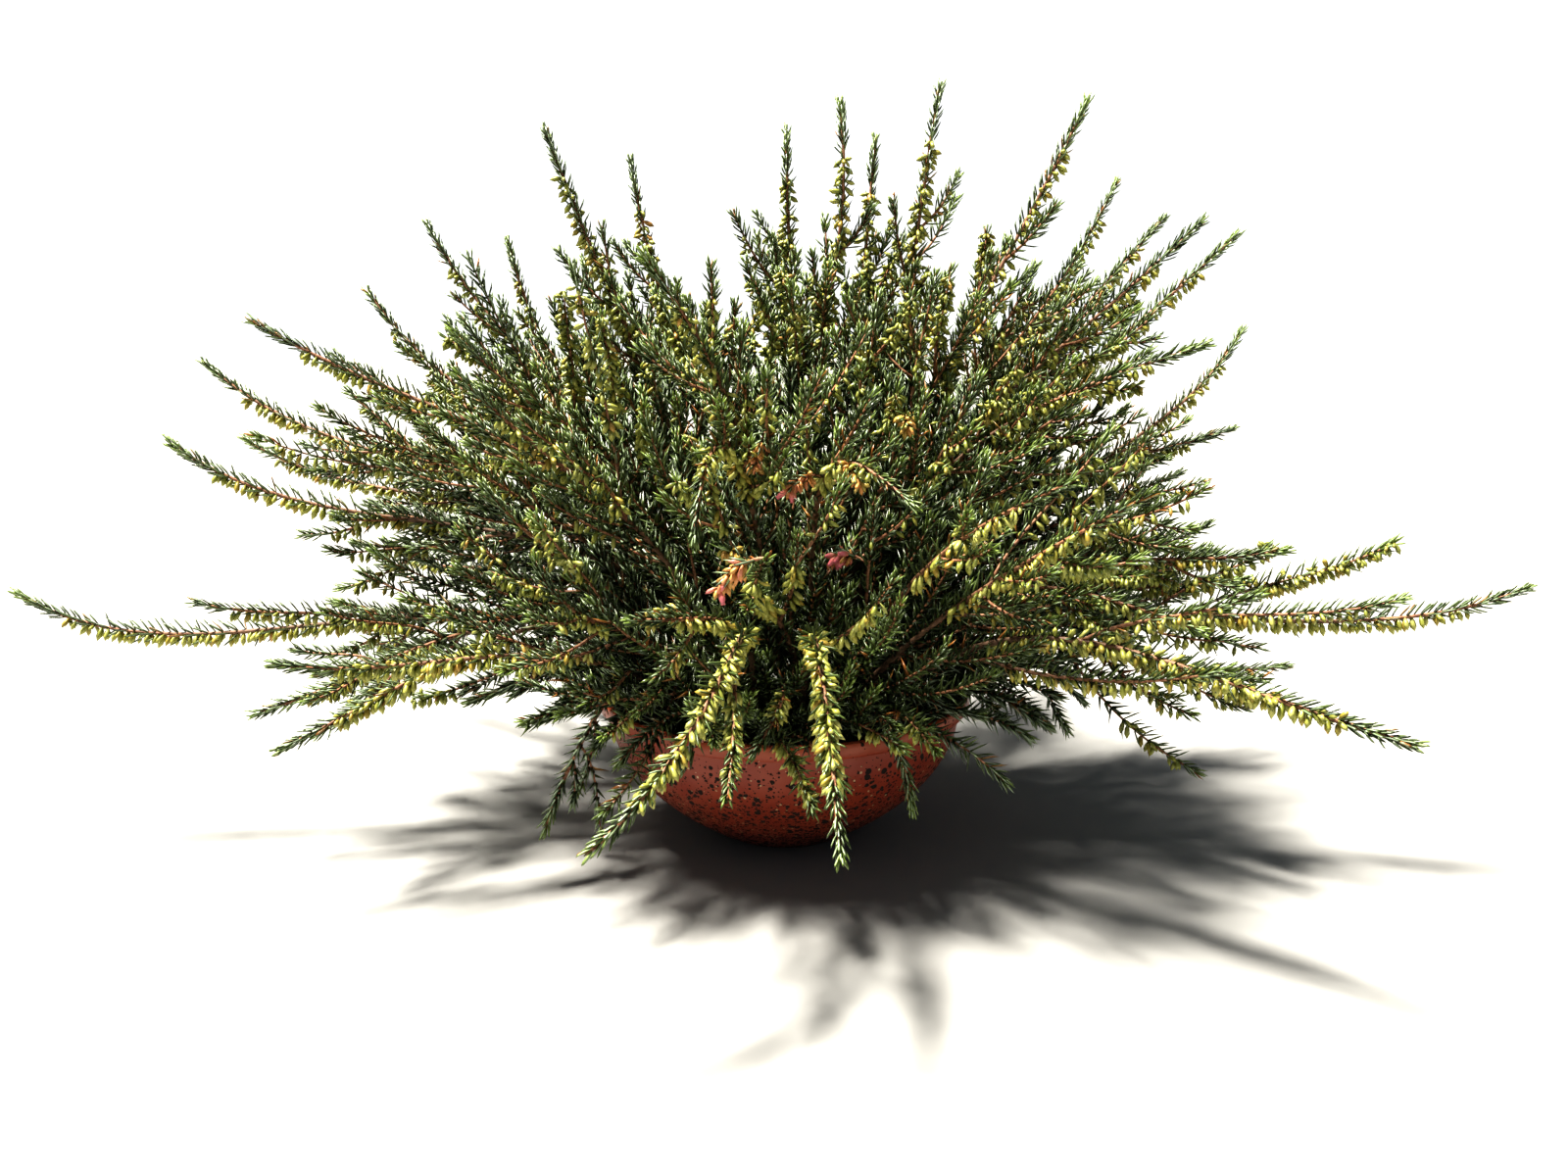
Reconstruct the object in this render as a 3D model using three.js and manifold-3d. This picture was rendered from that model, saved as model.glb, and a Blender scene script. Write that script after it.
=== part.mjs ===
// A winter-flowering heath in a round, terracotta-coloured plastic bowl.
// Millimetres, +Z up. The origin is the middle of the bowl's flat foot, on the surface that it stands on,
// and -Y is the side that the photograph shows.
import * as THREE from "three";
import { mergeVertices } from "three/addons/utils/BufferGeometryUtils.js";
import Module from "manifold-3d";

const wasm = await Module();
wasm.setup();

// Bowl
const bowlHeight = 60;
const rimRadius = 75;
const rimDepth = 6;
const rimBevel = 1;
const bandRadius = 71;
const footRadius = 28;
const wallCurve = 2.1;
const wallThickness = 2.4;
const wallSpread = 1.4;
const bowlSides = 32;
const outerSteps = 5;
const innerSteps = 4;
const drainCount = 4;
const drainRadius = 3.5;
const drainCircle = 16;
const drainSides = 8;

// Soil
const soilTop = 52;
const soilGap = 0.3;
const soilLump = 0.8;
const lumpWaves = [0.31, 0.27];
const soilSides = 24;
const soilRings = [30, 60];
const holeRadius = 2.9;
const holeSides = 4;
const holeDepth = 10;

// Stems
const crownRadius = 50;
const crownLean = 1.9;
const stemCount = 58;
const stemFoot = 1.8;
const stemTip = 1.3;
const footDepth = 9.6;
const collarHeight = 3;
const leaveHandle = 0.38;
const tipHandle = 0.3;
const pathSteps = 24;
const bareStep = 34;
const bendStep = 24;

// Side shoots: the whorls that they grow from, as shares of the stem's leafy part
const forks = [0.05, 0.35];
const forkReach = [0.4, 0.7];
const forkAngle = 34;
const forkRolls = 9;
const forkClearance = 14;
const forkShortest = 34;
const forkLongest = 95;
const forkHandle = 0.35;
const forkFollow = [0.6, 0.8];
const forkLift = 0.45;
const forkLowest = 66;

// Filling stems: the plant's half-width, how much less it is at the front, the spreads, and the tries
const domeRadius = 245;
const frontDent = 0.42;
const domeHeights = [0.02, 0.93];
const domeShares = [0.84, 1.06];
const tipRise = [-5, 22];
const tipSwing = [-15, 15];
const leastLeave = 63;
const fillTries = 40;
const stemClearance = 4.6;
const footPoints = 3;

// Leaves and buds
const leafLength = 9.5;
const leafAngle = 50;
const tipLeafAngle = 24;
const budLength = 5.6;
const budRadius = 1.35;
const budWaist = 0.45;
const budAngle = 100;
const budHighest = 0.3;
const budStretch = [0.4, 0.75];
const whorlSpan = 3.2;
const whorlSpacing = 24.5;
const bareShare = 0.3;
const leastBare = 45;
const forkBare = 12;
const tipCone = 6;
const leafFoot = 1.5;
const clearGap = 0.45;
const bowlGap = 1;

const up = new THREE.Vector3(0, 0, 1);
const goldenAngle = Math.PI * (3 - Math.sqrt(5));
const radians = THREE.MathUtils.degToRad;
const degrees = THREE.MathUtils.radToDeg;
const seed = 101;

// The stems that stand out in the photograph. For each: the heading of its tip from +X, the tip's reach
// from the bowl's axis and its height, its slope at the soil and at the tip, and the tip's swing.
const shownStems = [
  // the front, hanging over the rim
  [-85, 171, 65, 75, -45, 0],
  [-107, 178, 66, 78, -35, -50],
  [-96, 106, 68, 66, -30, -35],
  [-61, 91, 38, 72, -82, 0],
  [-40, 94, 66, 55, 0, 20],
  [-146, 106, 20, 72, -68, 0],
  [0, 124, 50, 58, -45, 0],
  // the front, above the rim
  [-104, 111, 137, 86, -75, 0],
  [-70, 114, 148, 82, -30, 20],
  [-109, 137, 119, 65, 10, -30],
  [-92, 135, 138, 70, 30, 20],
  [-131, 120, 129, 65, 75, 0],
  [-119, 91, 223, 88, 50, -30],
  [-58, 153, 159, 55, 25, 10],
  [-49, 160, 154, 50, 32, 0],
  // the right side, from the bottom up
  [-41, 229, 89, 51, -5, 0],
  [-34, 163, 105, 61, -14, 0],
  [-11, 269, 111, 41, 28, 0],
  [-6, 179, 107, 56, 10, 0],
  [-19, 183, 126, 76, 15, 0],
  [9, 188, 160, 76, 17, 0],
  [-15, 153, 195, 74, 18, 0],
  [21, 221, 201, 61, 60, 0],
  [8, 181, 237, 66, 44, 0],
  [-4, 153, 239, 71, 46, 0],
  [23, 179, 248, 64, 45, 0],
  [29, 167, 264, 54, 60, 0],
  [0, 111, 282, 71, 66, 0],
  // the left side, from the bottom up
  [-155, 189, 61, 62, -20, 0],
  [-169, 203, 59, 51, -15, 0],
  [-152, 128, 71, 61, -10, 0],
  [-152, 189, 94, 51, 18, 0],
  [-176, 294, 102, 46, 38, 0],
  [-175, 230, 160, 74, 42, 0],
  [166, 247, 154, 71, 30, 0],
  [175, 234, 188, 74, 45, 0],
  [-174, 194, 203, 80, 33, 0],
  [-161, 122, 200, 80, 50, 0],
  [164, 183, 217, 76, 57, 0],
  [165, 150, 242, 71, 62, 0],
  // the upright ones, from left to right
  [142, 161, 241, 50, 74, 0],
  [133, 136, 233, 60, 70, 0],
  [168, 94, 276, 62, 70, 0],
  [137, 88, 270, 69, 78, 0],
  [89, 60, 282, 80, 88, 0],
  [26, 23, 284, 84, 80, 120],
  [53, 62, 277, 75, 83, 0],
  [19, 63, 291, 78, 80, 0],
];

// The same numbers every time, from one seed
function randomFrom(start) {
  let state = start;
  return () => {
    state = (state * 16807) % 2147483647;
    return state / 2147483647;
  };
}
const random = randomFrom(seed);

const between = (low, high) => low + (high - low) * random();
const among = ([low, high]) => between(low, high);
const steps = (count) => [...Array(count + 1).keys()].map((i) => i / count);

// A unit vector at a heading and a slope, in degrees
function toward(heading, slope) {
  const level = Math.cos(radians(slope));
  return new THREE.Vector3(
    level * Math.cos(radians(heading)),
    level * Math.sin(radians(heading)),
    Math.sin(radians(slope)),
  );
}

// A path through points, with their distances from its start
function pathOf(points) {
  const along = [0];
  points.slice(1).forEach((p, i) => along.push(along[i] + p.distanceTo(points[i])));
  return { points, along, length: along[along.length - 1] };
}

// The place and the direction at a distance along a path
function onPath({ points, along }, distance) {
  const last = points.length - 1;
  let i = 1;
  while (i < last && along[i] < distance) i++;
  const share = (distance - along[i - 1]) / (along[i] - along[i - 1]);
  const place = points[i - 1].clone().lerp(points[i], share);
  const before = points[Math.max(i - 2, 0)];
  const after = points[Math.min(i + 1, last)];
  return { place, direction: after.clone().sub(before).normalize() };
}

// The smallest distance from the outer part of one path to other paths
function clearance(path, others, from) {
  let least = Infinity;
  for (const point of path.points.slice(from))
    for (const other of others)
      for (const q of other.points) least = Math.min(least, point.distanceToSquared(q));
  return Math.sqrt(least);
}

// Planting places in the soil, on a sunflower spiral
const spots = [...Array(stemCount).keys()].map((i) => {
  const radius = crownRadius * Math.sqrt((i + 0.5) / stemCount);
  const turn = i * goldenAngle;
  return new THREE.Vector3(radius * Math.cos(turn), radius * Math.sin(turn), soilTop + collarHeight);
});

// The free place that suits a stem: upright ones in the middle, low ones near the rim
function spotFor(heading, reach, height, free) {
  const lean = Math.atan2(reach, height - soilTop) / Math.PI;
  const wish = toward(heading, 0).multiplyScalar(crownRadius * Math.min(1, crownLean * lean));
  wish.z = soilTop + collarHeight;
  return free.reduce((a, b) => (wish.distanceTo(a) <= wish.distanceTo(b) ? a : b));
}

// A stem's curve from the soil to its tip, with its foot straight down in the soil
function stemPath(root, [heading, reach, height, leaveSlope, tipSlope, swing]) {
  const tip = toward(heading, 0).multiplyScalar(reach);
  tip.z = height;
  const rootHeading = degrees(Math.atan2(tip.y - root.y, tip.x - root.x));
  const span = tip.distanceTo(root) * (1 + Math.max(0, leaveSlope - tipSlope) / 180);
  const curve = new THREE.CubicBezierCurve3(
    root,
    toward(rootHeading, leaveSlope).multiplyScalar(leaveHandle * span).add(root),
    toward(heading + swing, tipSlope).multiplyScalar(-tipHandle * span).add(tip),
    tip,
  );
  const foot = root.clone().setZ(soilTop - footDepth);
  const path = pathOf([foot, foot.clone().lerp(root, 0.5), ...curve.getPoints(pathSteps)]);
  return leafy(path, Math.max(leastBare, bareShare * path.length));
}

// A stem somewhere on the plant's dome, shorter at the front, where the photograph looks into the plant
function someStem() {
  const heading = between(-180, 180);
  const slope = degrees(Math.asin(among(domeHeights)));
  const front = Math.max(0, -Math.sin(radians(heading))) * Math.cos(radians(slope));
  const radius = domeRadius * among(domeShares) * (1 - frontDent * front);
  const reach = radius * Math.cos(radians(slope));
  const height = soilTop + radius * Math.sin(radians(slope));
  return [heading, reach, height, leastLeave + slope / 2, slope + among(tipRise), among(tipSwing)];
}

// A shoot that forks off a stem and curves back beside it
function sideShoot(stem, whorl, roll, reach) {
  const { place, direction } = onPath(stem, stem.whorls[whorl] + whorlSpan / 2);
  const across = new THREE.Vector3().crossVectors(direction, up).normalize();
  across.applyAxisAngle(direction, roll);
  const leave = direction.clone().applyAxisAngle(across, radians(forkAngle));
  const middle = leave.clone().addScaledVector(direction, forkFollow[0]).normalize();
  const end = leave.clone().addScaledVector(direction, forkFollow[1]);
  end.addScaledVector(up, forkLift).normalize();
  const tip = place.clone().addScaledVector(middle, reach);
  const curve = new THREE.CubicBezierCurve3(
    place,
    place.clone().addScaledVector(leave, forkHandle * reach),
    tip.clone().addScaledVector(end, -forkHandle * reach),
    tip,
  );
  return leafy(pathOf(curve.getPoints(pathSteps)), forkBare, { whorl, out: across.cross(direction) });
}

// A path with the places of its whorls and, on a side shoot, the whorl and the side that it forks from
function leafy(path, leafStart, fork) {
  const leafEnd = path.length - tipCone - whorlSpan;
  const count = Math.max(1, Math.round((leafEnd - leafStart) / whorlSpacing));
  const whorls = steps(count).map((t) => leafStart + (leafEnd - leafStart) * t);
  return { ...path, whorls, fork };
}

// All sprays: a stem from the soil with its side shoots
function growSprays() {
  const free = [...spots];
  const sprays = [];
  const grow = (row) => {
    const root = spotFor(row[0], row[1], row[2], free);
    return { root, paths: [stemPath(root, row)] };
  };
  const plant = (spray) => {
    free.splice(free.indexOf(spray.root), 1);
    sprays.push(spray);
  };
  shownStems.forEach((row) => plant(grow(row)));
  while (sprays.length < stemCount) {
    const stems = sprays.map((spray) => spray.paths[0]);
    let best = { room: -1 };
    for (let i = 0; i < fillTries; i++) {
      const spray = grow(someStem());
      const room = clearance(spray.paths[0], stems, pathSteps / 2);
      const passes = clearance(spray.paths[0], stems, footPoints) > stemClearance;
      if (passes && room > best.room) best = { room, spray };
    }
    plant(best.spray);
  }
  for (const spray of sprays) {
    const stem = spray.paths[0];
    for (const fork of forks) {
      const whorl = Math.round(fork * (stem.whorls.length - 1));
      const reach = (stem.length - stem.whorls[whorl]) * among(forkReach);
      const firstRoll = between(0, 2 * Math.PI);
      if (reach < forkShortest) continue;
      const others = sprays.flatMap((other) => (other === spray ? spray.paths.slice(1) : other.paths));
      let best = { room: -1 };
      for (let i = 0; i < forkRolls; i++) {
        const roll = firstRoll + (i * 2 * Math.PI) / forkRolls;
        const path = sideShoot(stem, whorl, roll, Math.min(reach, forkLongest));
        const lowest = Math.min(...path.points.map((p) => p.z));
        const room = lowest < forkLowest ? 0 : clearance(path, others, footPoints + 1);
        if (room > best.room) best = { room, path };
      }
      if (best.room > forkClearance) spray.paths.push(best.path);
    }
  }
  return sprays;
}

// The outline of the bowl's wall below its band
function wallRadius(z) {
  const rise = Math.min(1, z / (bowlHeight - rimDepth));
  return bandRadius - (bandRadius - footRadius) * (1 - rise) ** wallCurve;
}

// Whether a point is in the bowl, the soil or the ground, or nearly so
function inBowl(p) {
  const radius = Math.hypot(p.x, p.y);
  const wall = p.z > bowlHeight - rimDepth - bowlGap ? rimRadius : wallRadius(p.z);
  const overSoil = radius < bandRadius - 2 * wallThickness && p.z > soilTop + 2 * bowlGap;
  return p.z < 1.5 * bowlGap || (p.z < bowlHeight + bowlGap && radius < wall + bowlGap && !overSoil);
}

// The smallest gap between two straight tapering rods, each { from, to, thick, thin }
function rodGap(a, b) {
  const u = a.to.clone().sub(a.from);
  const v = b.to.clone().sub(b.from);
  const w = a.from.clone().sub(b.from);
  const uu = u.dot(u);
  const uv = u.dot(v);
  const vv = v.dot(v);
  const clamp = (x) => Math.min(1, Math.max(0, x));
  const depth = uu * vv - uv * uv;
  let s = depth > 1e-9 ? clamp((uv * v.dot(w) - vv * u.dot(w)) / depth) : 0;
  const t = clamp((uv * s + v.dot(w)) / vv);
  s = clamp((uv * t - u.dot(w)) / uu);
  const p = a.from.clone().addScaledVector(u, s);
  const q = b.from.clone().addScaledVector(v, t);
  const width = (rod, share) => rod.thick + (rod.thin - rod.thick) * share;
  return p.distanceTo(q) - width(a, s) - width(b, t);
}

// Every stem, leaf and bud so far, sorted into cubes of space, so that a new leaf finds its neighbours
const cubeSize = 12;
const cubeMargin = 3;
const cubes = new Map();
const cubeKey = (x, y, z) => [x, y, z].map((c) => Math.floor(c / cubeSize)).join();

function forCubes(rod, visit) {
  const low = rod.from.clone().min(rod.to).subScalar(cubeMargin);
  const high = rod.from.clone().max(rod.to).addScalar(cubeMargin + cubeSize);
  for (let x = low.x; x < high.x; x += cubeSize)
    for (let y = low.y; y < high.y; y += cubeSize)
      for (let z = low.z; z < high.z; z += cubeSize) visit(cubeKey(x, y, z));
}

function remember(rod) {
  forCubes(rod, (key) => {
    if (!cubes.has(key)) cubes.set(key, new Set());
    cubes.get(key).add(rod);
  });
}

function isClear(rod) {
  if (inBowl(rod.to) || inBowl(rod.from.clone().lerp(rod.to, 0.5))) return false;
  let clear = true;
  forCubes(rod, (key) => {
    for (const other of cubes.get(key) ?? [])
      if (clear && other.shoot !== rod.shoot && rodGap(rod, other) < clearGap) clear = false;
  });
  return clear;
}

// One spray as a closed mesh: three-sided shoots with whorls of leaves and, in their middle, buds
function sprayMesh([stem, ...sides]) {
  const positions = [];
  const faces = [];
  const corner = (p) => positions.push(p.x, p.y, p.z) / 3 - 1;
  const at = (i) => new THREE.Vector3(...positions.slice(3 * i, 3 * i + 3));
  const distance = (i, j) => at(i).distanceTo(at(j));

  // The middle of a face, and the way that it looks out from the stem
  function faceOf([a, b, c], { place, direction }) {
    const from = at(a).add(at(b)).add(at(c)).divideScalar(3);
    const out = from.clone().sub(place);
    return { from, out: out.addScaledVector(direction, -out.dot(direction)).normalize() };
  }

  // A leaf: one face drawn out to a point
  function leaf([a, b, c], middle, angle, shoot) {
    const { from, out } = faceOf([a, b, c], middle);
    const to = from.clone().addScaledVector(middle.direction, leafLength * Math.cos(angle));
    to.addScaledVector(out, leafLength * Math.sin(angle));
    const rod = { from, to, thick: leafFoot, thin: 0, shoot };
    if (!isClear(rod)) return faces.push([a, b, c]);
    remember(rod);
    const tip = corner(to);
    return faces.push([a, b, tip], [b, c, tip], [c, a, tip]);
  }

  // A bud: one face drawn out to a waist and a point, hanging on the stem's lower side
  function bud([a, b, c], middle, shoot) {
    const { from, out } = faceOf([a, b, c], middle);
    const lean = out.clone().multiplyScalar(Math.sin(radians(budAngle)));
    lean.addScaledVector(middle.direction, Math.cos(radians(budAngle)));
    const to = from.clone().addScaledVector(lean, budLength);
    const rod = { from, to, thick: leafFoot, thin: budRadius / 2, shoot };
    if (out.z > budHighest || !isClear(rod)) return faces.push([a, b, c]);
    remember(rod);
    const waist = [a, b, c].map((i) => {
      const arm = at(i).sub(from);
      arm.addScaledVector(lean, -arm.dot(lean)).normalize();
      return corner(arm.multiplyScalar(budRadius).add(from).addScaledVector(lean, budWaist * budLength));
    });
    const tip = corner(to);
    join([a, b, c], waist);
    return [0, 1, 2].forEach((j) => faces.push([waist[j], waist[(j + 1) % 3], tip]));
  }

  // Six faces between two rings, each corner joined to the nearest ones
  function join(a, b) {
    const twist = (m) => [0, 1, 2].reduce((sum, j) => sum + distance(a[j], b[(j + m) % 3]) ** 2, 0);
    const shift = [0, 1, 2].reduce((m, n) => (twist(n) < twist(m) ? n : m));
    const c = [0, 1, 2].map((j) => b[(j + shift) % 3]);
    const ahead = distance(a[0], c[1]) + distance(a[1], c[2]) + distance(a[2], c[0]);
    const behind = distance(a[1], c[0]) + distance(a[2], c[1]) + distance(a[0], c[2]);
    [0, 1, 2].forEach((j) => {
      const k = (j + 1) % 3;
      if (ahead < behind) faces.push([a[j], a[k], c[k]], [a[j], c[k], c[j]]);
      else faces.push([a[j], a[k], c[j]], [a[k], c[k], c[j]]);
    });
  }

  // A shoot from the corners that it starts at, or from its own foot
  function shoot(path, base) {
    const side = new THREE.Vector3(1, 0, 0);
    let roll = between(0, 2 * Math.PI);
    let last = { corners: base, distance: 0, direction: onPath(path, 0).direction };

    function ring(along) {
      const { place, direction } = onPath(path, along);
      side.addScaledVector(direction, -side.dot(direction)).normalize();
      const radius = stemFoot + ((stemTip - stemFoot) * along) / path.length;
      const corners = [0, 1, 2].map((j) => {
        const arm = side.clone().applyAxisAngle(direction, roll + (j * 2 * Math.PI) / 3);
        return corner(arm.multiplyScalar(radius).add(place));
      });
      return { corners, direction, distance: along };
    }

    // Bare stem up to a distance, with more rings where it bends
    function growTo(along) {
      const start = last;
      const bend = degrees(start.direction.angleTo(onPath(path, along).direction));
      const length = along - start.distance;
      const parts = Math.max(1, Math.ceil(bend / bendStep), Math.round(length / bareStep));
      for (let i = 1; i < parts; i++) {
        const next = ring(start.distance + (length * i) / parts);
        join(last.corners, next.corners);
        last = next;
      }
    }

    if (!base) {
      last = ring(0);
      faces.push([...last.corners].reverse());
      const collar = ring(footDepth + bowlGap);
      join(last.corners, collar.corners);
      last = collar;
    }
    path.whorls.forEach((along, i) => {
      growTo(along);
      const middle = onPath(path, along + whorlSpan / 2);
      const child = base ? undefined : sides.find(({ fork }) => fork.whorl === i);
      roll += Math.PI / 3;
      if (child) {
        side.addScaledVector(middle.direction, -side.dot(middle.direction)).normalize();
        const beside = new THREE.Vector3().crossVectors(middle.direction, side);
        roll = Math.atan2(child.fork.out.dot(beside), child.fork.out.dot(side)) - Math.PI / 3;
      }
      const low = ring(along);
      join(last.corners, low.corners);
      const high = ring(along + whorlSpan);
      const share = i / (path.whorls.length - 1);
      const angle = radians(share === 1 ? tipLeafAngle : leafAngle);
      [0, 1, 2].forEach((j) => {
        const k = (j + 1) % 3;
        const [a, b] = [low.corners, high.corners];
        const near = [a[j], a[k], b[k]];
        if (child && j === 0) shoot(child, near);
        else if (share > budStretch[0] && share < budStretch[1]) bud(near, middle, path);
        else faces.push(near);
        leaf([a[j], b[k], b[j]], middle, angle, path);
      });
      last = high;
    });
    const apex = corner(path.points[path.points.length - 1]);
    [0, 1, 2].forEach((j) => faces.push([last.corners[j], last.corners[(j + 1) % 3], apex]));
  }

  shoot(stem);
  return { positions, faces };
}

function solidFrom({ positions, faces }) {
  const vertProperties = new Float32Array(positions);
  const triVerts = new Uint32Array(faces.flat());
  return new wasm.Manifold(new wasm.Mesh({ numProp: 3, vertProperties, triVerts }));
}

function solidOf(geometry) {
  geometry.deleteAttribute("normal");
  geometry.deleteAttribute("uv");
  const merged = mergeVertices(geometry, 1e-4);
  const faces = [];
  const index = merged.index.array;
  for (let i = 0; i < index.length; i += 3) {
    const [a, b, c] = index.slice(i, i + 3);
    if (a !== b && b !== c && c !== a) faces.push([a, b, c]);
  }
  return solidFrom({ positions: [...merged.attributes.position.array], faces });
}

function geometryOf(solid) {
  const mesh = solid.getMesh();
  const geometry = new THREE.BufferGeometry();
  const points = new THREE.BufferAttribute(new Float32Array(mesh.vertProperties), mesh.numProp);
  geometry.setAttribute("position", points);
  geometry.setIndex(new THREE.BufferAttribute(new Uint32Array(mesh.triVerts), 1));
  geometry.computeVertexNormals();
  return geometry;
}

// A shape turned about the upright axis from [radius, height] points, from the bottom up
function turnedShape(outline, sides) {
  const points = outline.map(([radius, z]) => new THREE.Vector2(radius, z));
  return new THREE.LatheGeometry(points, sides).rotateX(Math.PI / 2);
}

function prism(radius, sides, bottom, top, x, y) {
  const shape = new THREE.CylinderGeometry(radius, radius, top - bottom, sides);
  shape.rotateX(Math.PI / 2);
  return solidOf(shape.translate(x, y, (top + bottom) / 2));
}

// Points of the bowl's wall, closer together near its foot, where it curves most
function wallPoints(low, high, count, inset) {
  return steps(count)
    .map((t) => low + (high - low) * t ** wallSpread)
    .map((z) => [wallRadius(z) - inset, z]);
}

function makeBowl() {
  const bandBottom = bowlHeight - rimDepth;
  const floor = wallThickness;
  const outer = wallPoints(0, bandBottom, outerSteps, 0);
  const inner = wallPoints(floor, soilTop, innerSteps, wallThickness).reverse();
  const lip = [
    [rimRadius, bandBottom + rimBevel / 2],
    [rimRadius, bowlHeight - rimBevel],
    [rimRadius - rimBevel, bowlHeight],
    [rimRadius - wallThickness, bowlHeight],
  ];
  const profile = [[0, 0], ...outer, ...lip, ...inner, [0, floor]];
  let bowl = solidOf(turnedShape(profile, bowlSides));
  for (let i = 0; i < drainCount; i++) {
    const turn = ((i + 0.5) * 2 * Math.PI) / drainCount;
    const [x, y] = [drainCircle * Math.cos(turn), drainCircle * Math.sin(turn)];
    bowl = bowl.subtract(prism(drainRadius, drainSides, -1, floor + 1, x, y));
  }
  return bowl;
}

function makeSoil() {
  const shrink = Math.cos(Math.PI / bowlSides);
  const floor = wallThickness + soilGap;
  const side = wallPoints(wallThickness, soilTop, innerSteps, wallThickness)
    .map(([radius, z]) => [radius * shrink - Math.SQRT2 * soilGap, Math.max(z, floor)]);
  const top = soilRings.map((radius) => [radius, soilTop]).reverse();
  const geometry = turnedShape([[0, floor], ...side, ...top, [0, soilTop]], soilSides);
  const p = geometry.attributes.position;
  for (let i = 0; i < p.count; i++) {
    const [x, y, z] = [p.getX(i), p.getY(i), p.getZ(i)];
    const inside = z > soilTop - 0.1 && Math.hypot(x, y) < soilRings[soilRings.length - 1] + 1;
    const wave = Math.sin(lumpWaves[0] * x + 1) * Math.cos(lumpWaves[1] * y);
    if (inside) p.setZ(i, z + soilLump * wave);
  }
  let soil = solidOf(geometry);
  for (const { x, y } of spots)
    soil = soil.subtract(prism(holeRadius, holeSides, soilTop - holeDepth, soilTop + 4, x, y));
  return soil;
}

function makeMesh(name, solid, color, roughness) {
  const material = new THREE.MeshStandardMaterial({ color, roughness, metalness: 0, flatShading: true });
  const mesh = new THREE.Mesh(geometryOf(solid), material);
  mesh.name = name;
  return mesh;
}

const heath = new THREE.Group();
heath.add(makeMesh("bowl", makeBowl(), 0x8f3a26, 0.55));
heath.add(makeMesh("soil", makeSoil(), 0x2a1d15, 0.95));

const sprays = growSprays();
sprays.forEach(({ paths }) =>
  paths.forEach((path) =>
    path.points.slice(1).forEach((to, i) => {
      remember({ from: path.points[i], to, thick: stemFoot, thin: stemFoot, shoot: path });
    }),
  ),
);
sprays.forEach(({ paths }, i) => {
  const name = `spray_${String(i + 1).padStart(2, "0")}`;
  heath.add(makeMesh(name, solidFrom(sprayMesh(paths)), 0x4d5f2e, 0.6));
});

export default heath;
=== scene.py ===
import math

import bpy
import numpy as np
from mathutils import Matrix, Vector


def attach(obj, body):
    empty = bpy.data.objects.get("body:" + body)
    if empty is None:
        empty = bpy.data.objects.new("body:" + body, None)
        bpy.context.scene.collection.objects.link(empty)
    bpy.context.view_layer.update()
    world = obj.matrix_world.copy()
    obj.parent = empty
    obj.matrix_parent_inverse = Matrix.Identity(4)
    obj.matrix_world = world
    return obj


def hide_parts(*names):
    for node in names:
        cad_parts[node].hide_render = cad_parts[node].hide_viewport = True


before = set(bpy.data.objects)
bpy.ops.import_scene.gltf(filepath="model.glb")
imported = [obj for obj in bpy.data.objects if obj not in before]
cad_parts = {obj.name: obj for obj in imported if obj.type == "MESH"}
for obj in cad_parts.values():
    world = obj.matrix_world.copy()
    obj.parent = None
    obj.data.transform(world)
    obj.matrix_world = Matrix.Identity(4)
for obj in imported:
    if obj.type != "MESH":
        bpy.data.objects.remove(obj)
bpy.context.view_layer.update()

# A potted winter-flowering heath. Sizes in this file are in millimetres, as in the plant's own rule of
# growth, and become metres where a mesh is written.
mm = 0.001
up = np.array([0.0, 0.0, 1.0])
goldenAngle = math.pi * (3 - math.sqrt(5))


# Camera, light and stage

camera = {
    "place": (0, -440, 199),
    "downTilt": 12.8,
    "focalPixels": 1150,  # across the photograph's width
    "photoWidth": 1600,
    "sensor": 36,
    "nearest": 10,
}

light = {
    "sunFrom": (-0.33, 0.0, 0.92),
    "sunStrength": 11.0,
    "sunWidth": 10,  # degrees, which softens the shadows
    "sunColour": (1.0, 0.95, 0.86),
    "skyColour": (0.82, 0.90, 1.0, 1),
    "skyStrength": 0.18,
    "backColour": (0.93, 0.94, 0.95, 1),
    "backStrength": 0.93,
}

stage = {"radius": 9000, "sides": 64, "colour": (0.34, 0.34, 0.335, 1), "roughness": 0.8, "gloss": 0.2}


def put(tree, kind, inputs=None, **settings):
    node = tree.nodes.new(kind)
    for key, value in settings.items():
        setattr(node, key, value)
    for key, value in (inputs or {}).items():
        if isinstance(value, bpy.types.NodeSocket):
            tree.links.new(value, node.inputs[key])
        else:
            node.inputs[key].default_value = value
    return node


def setCamera():
    tilt = math.radians(90 - camera["downTilt"])
    place = [c * mm for c in camera["place"]]
    bpy.ops.object.camera_add(location=place, rotation=(tilt, 0, 0))
    lens = bpy.context.object.data
    lens.sensor_width = camera["sensor"]
    lens.lens = camera["sensor"] * camera["focalPixels"] / camera["photoWidth"]
    lens.clip_start = camera["nearest"] * mm
    bpy.context.scene.camera = bpy.context.object


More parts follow.
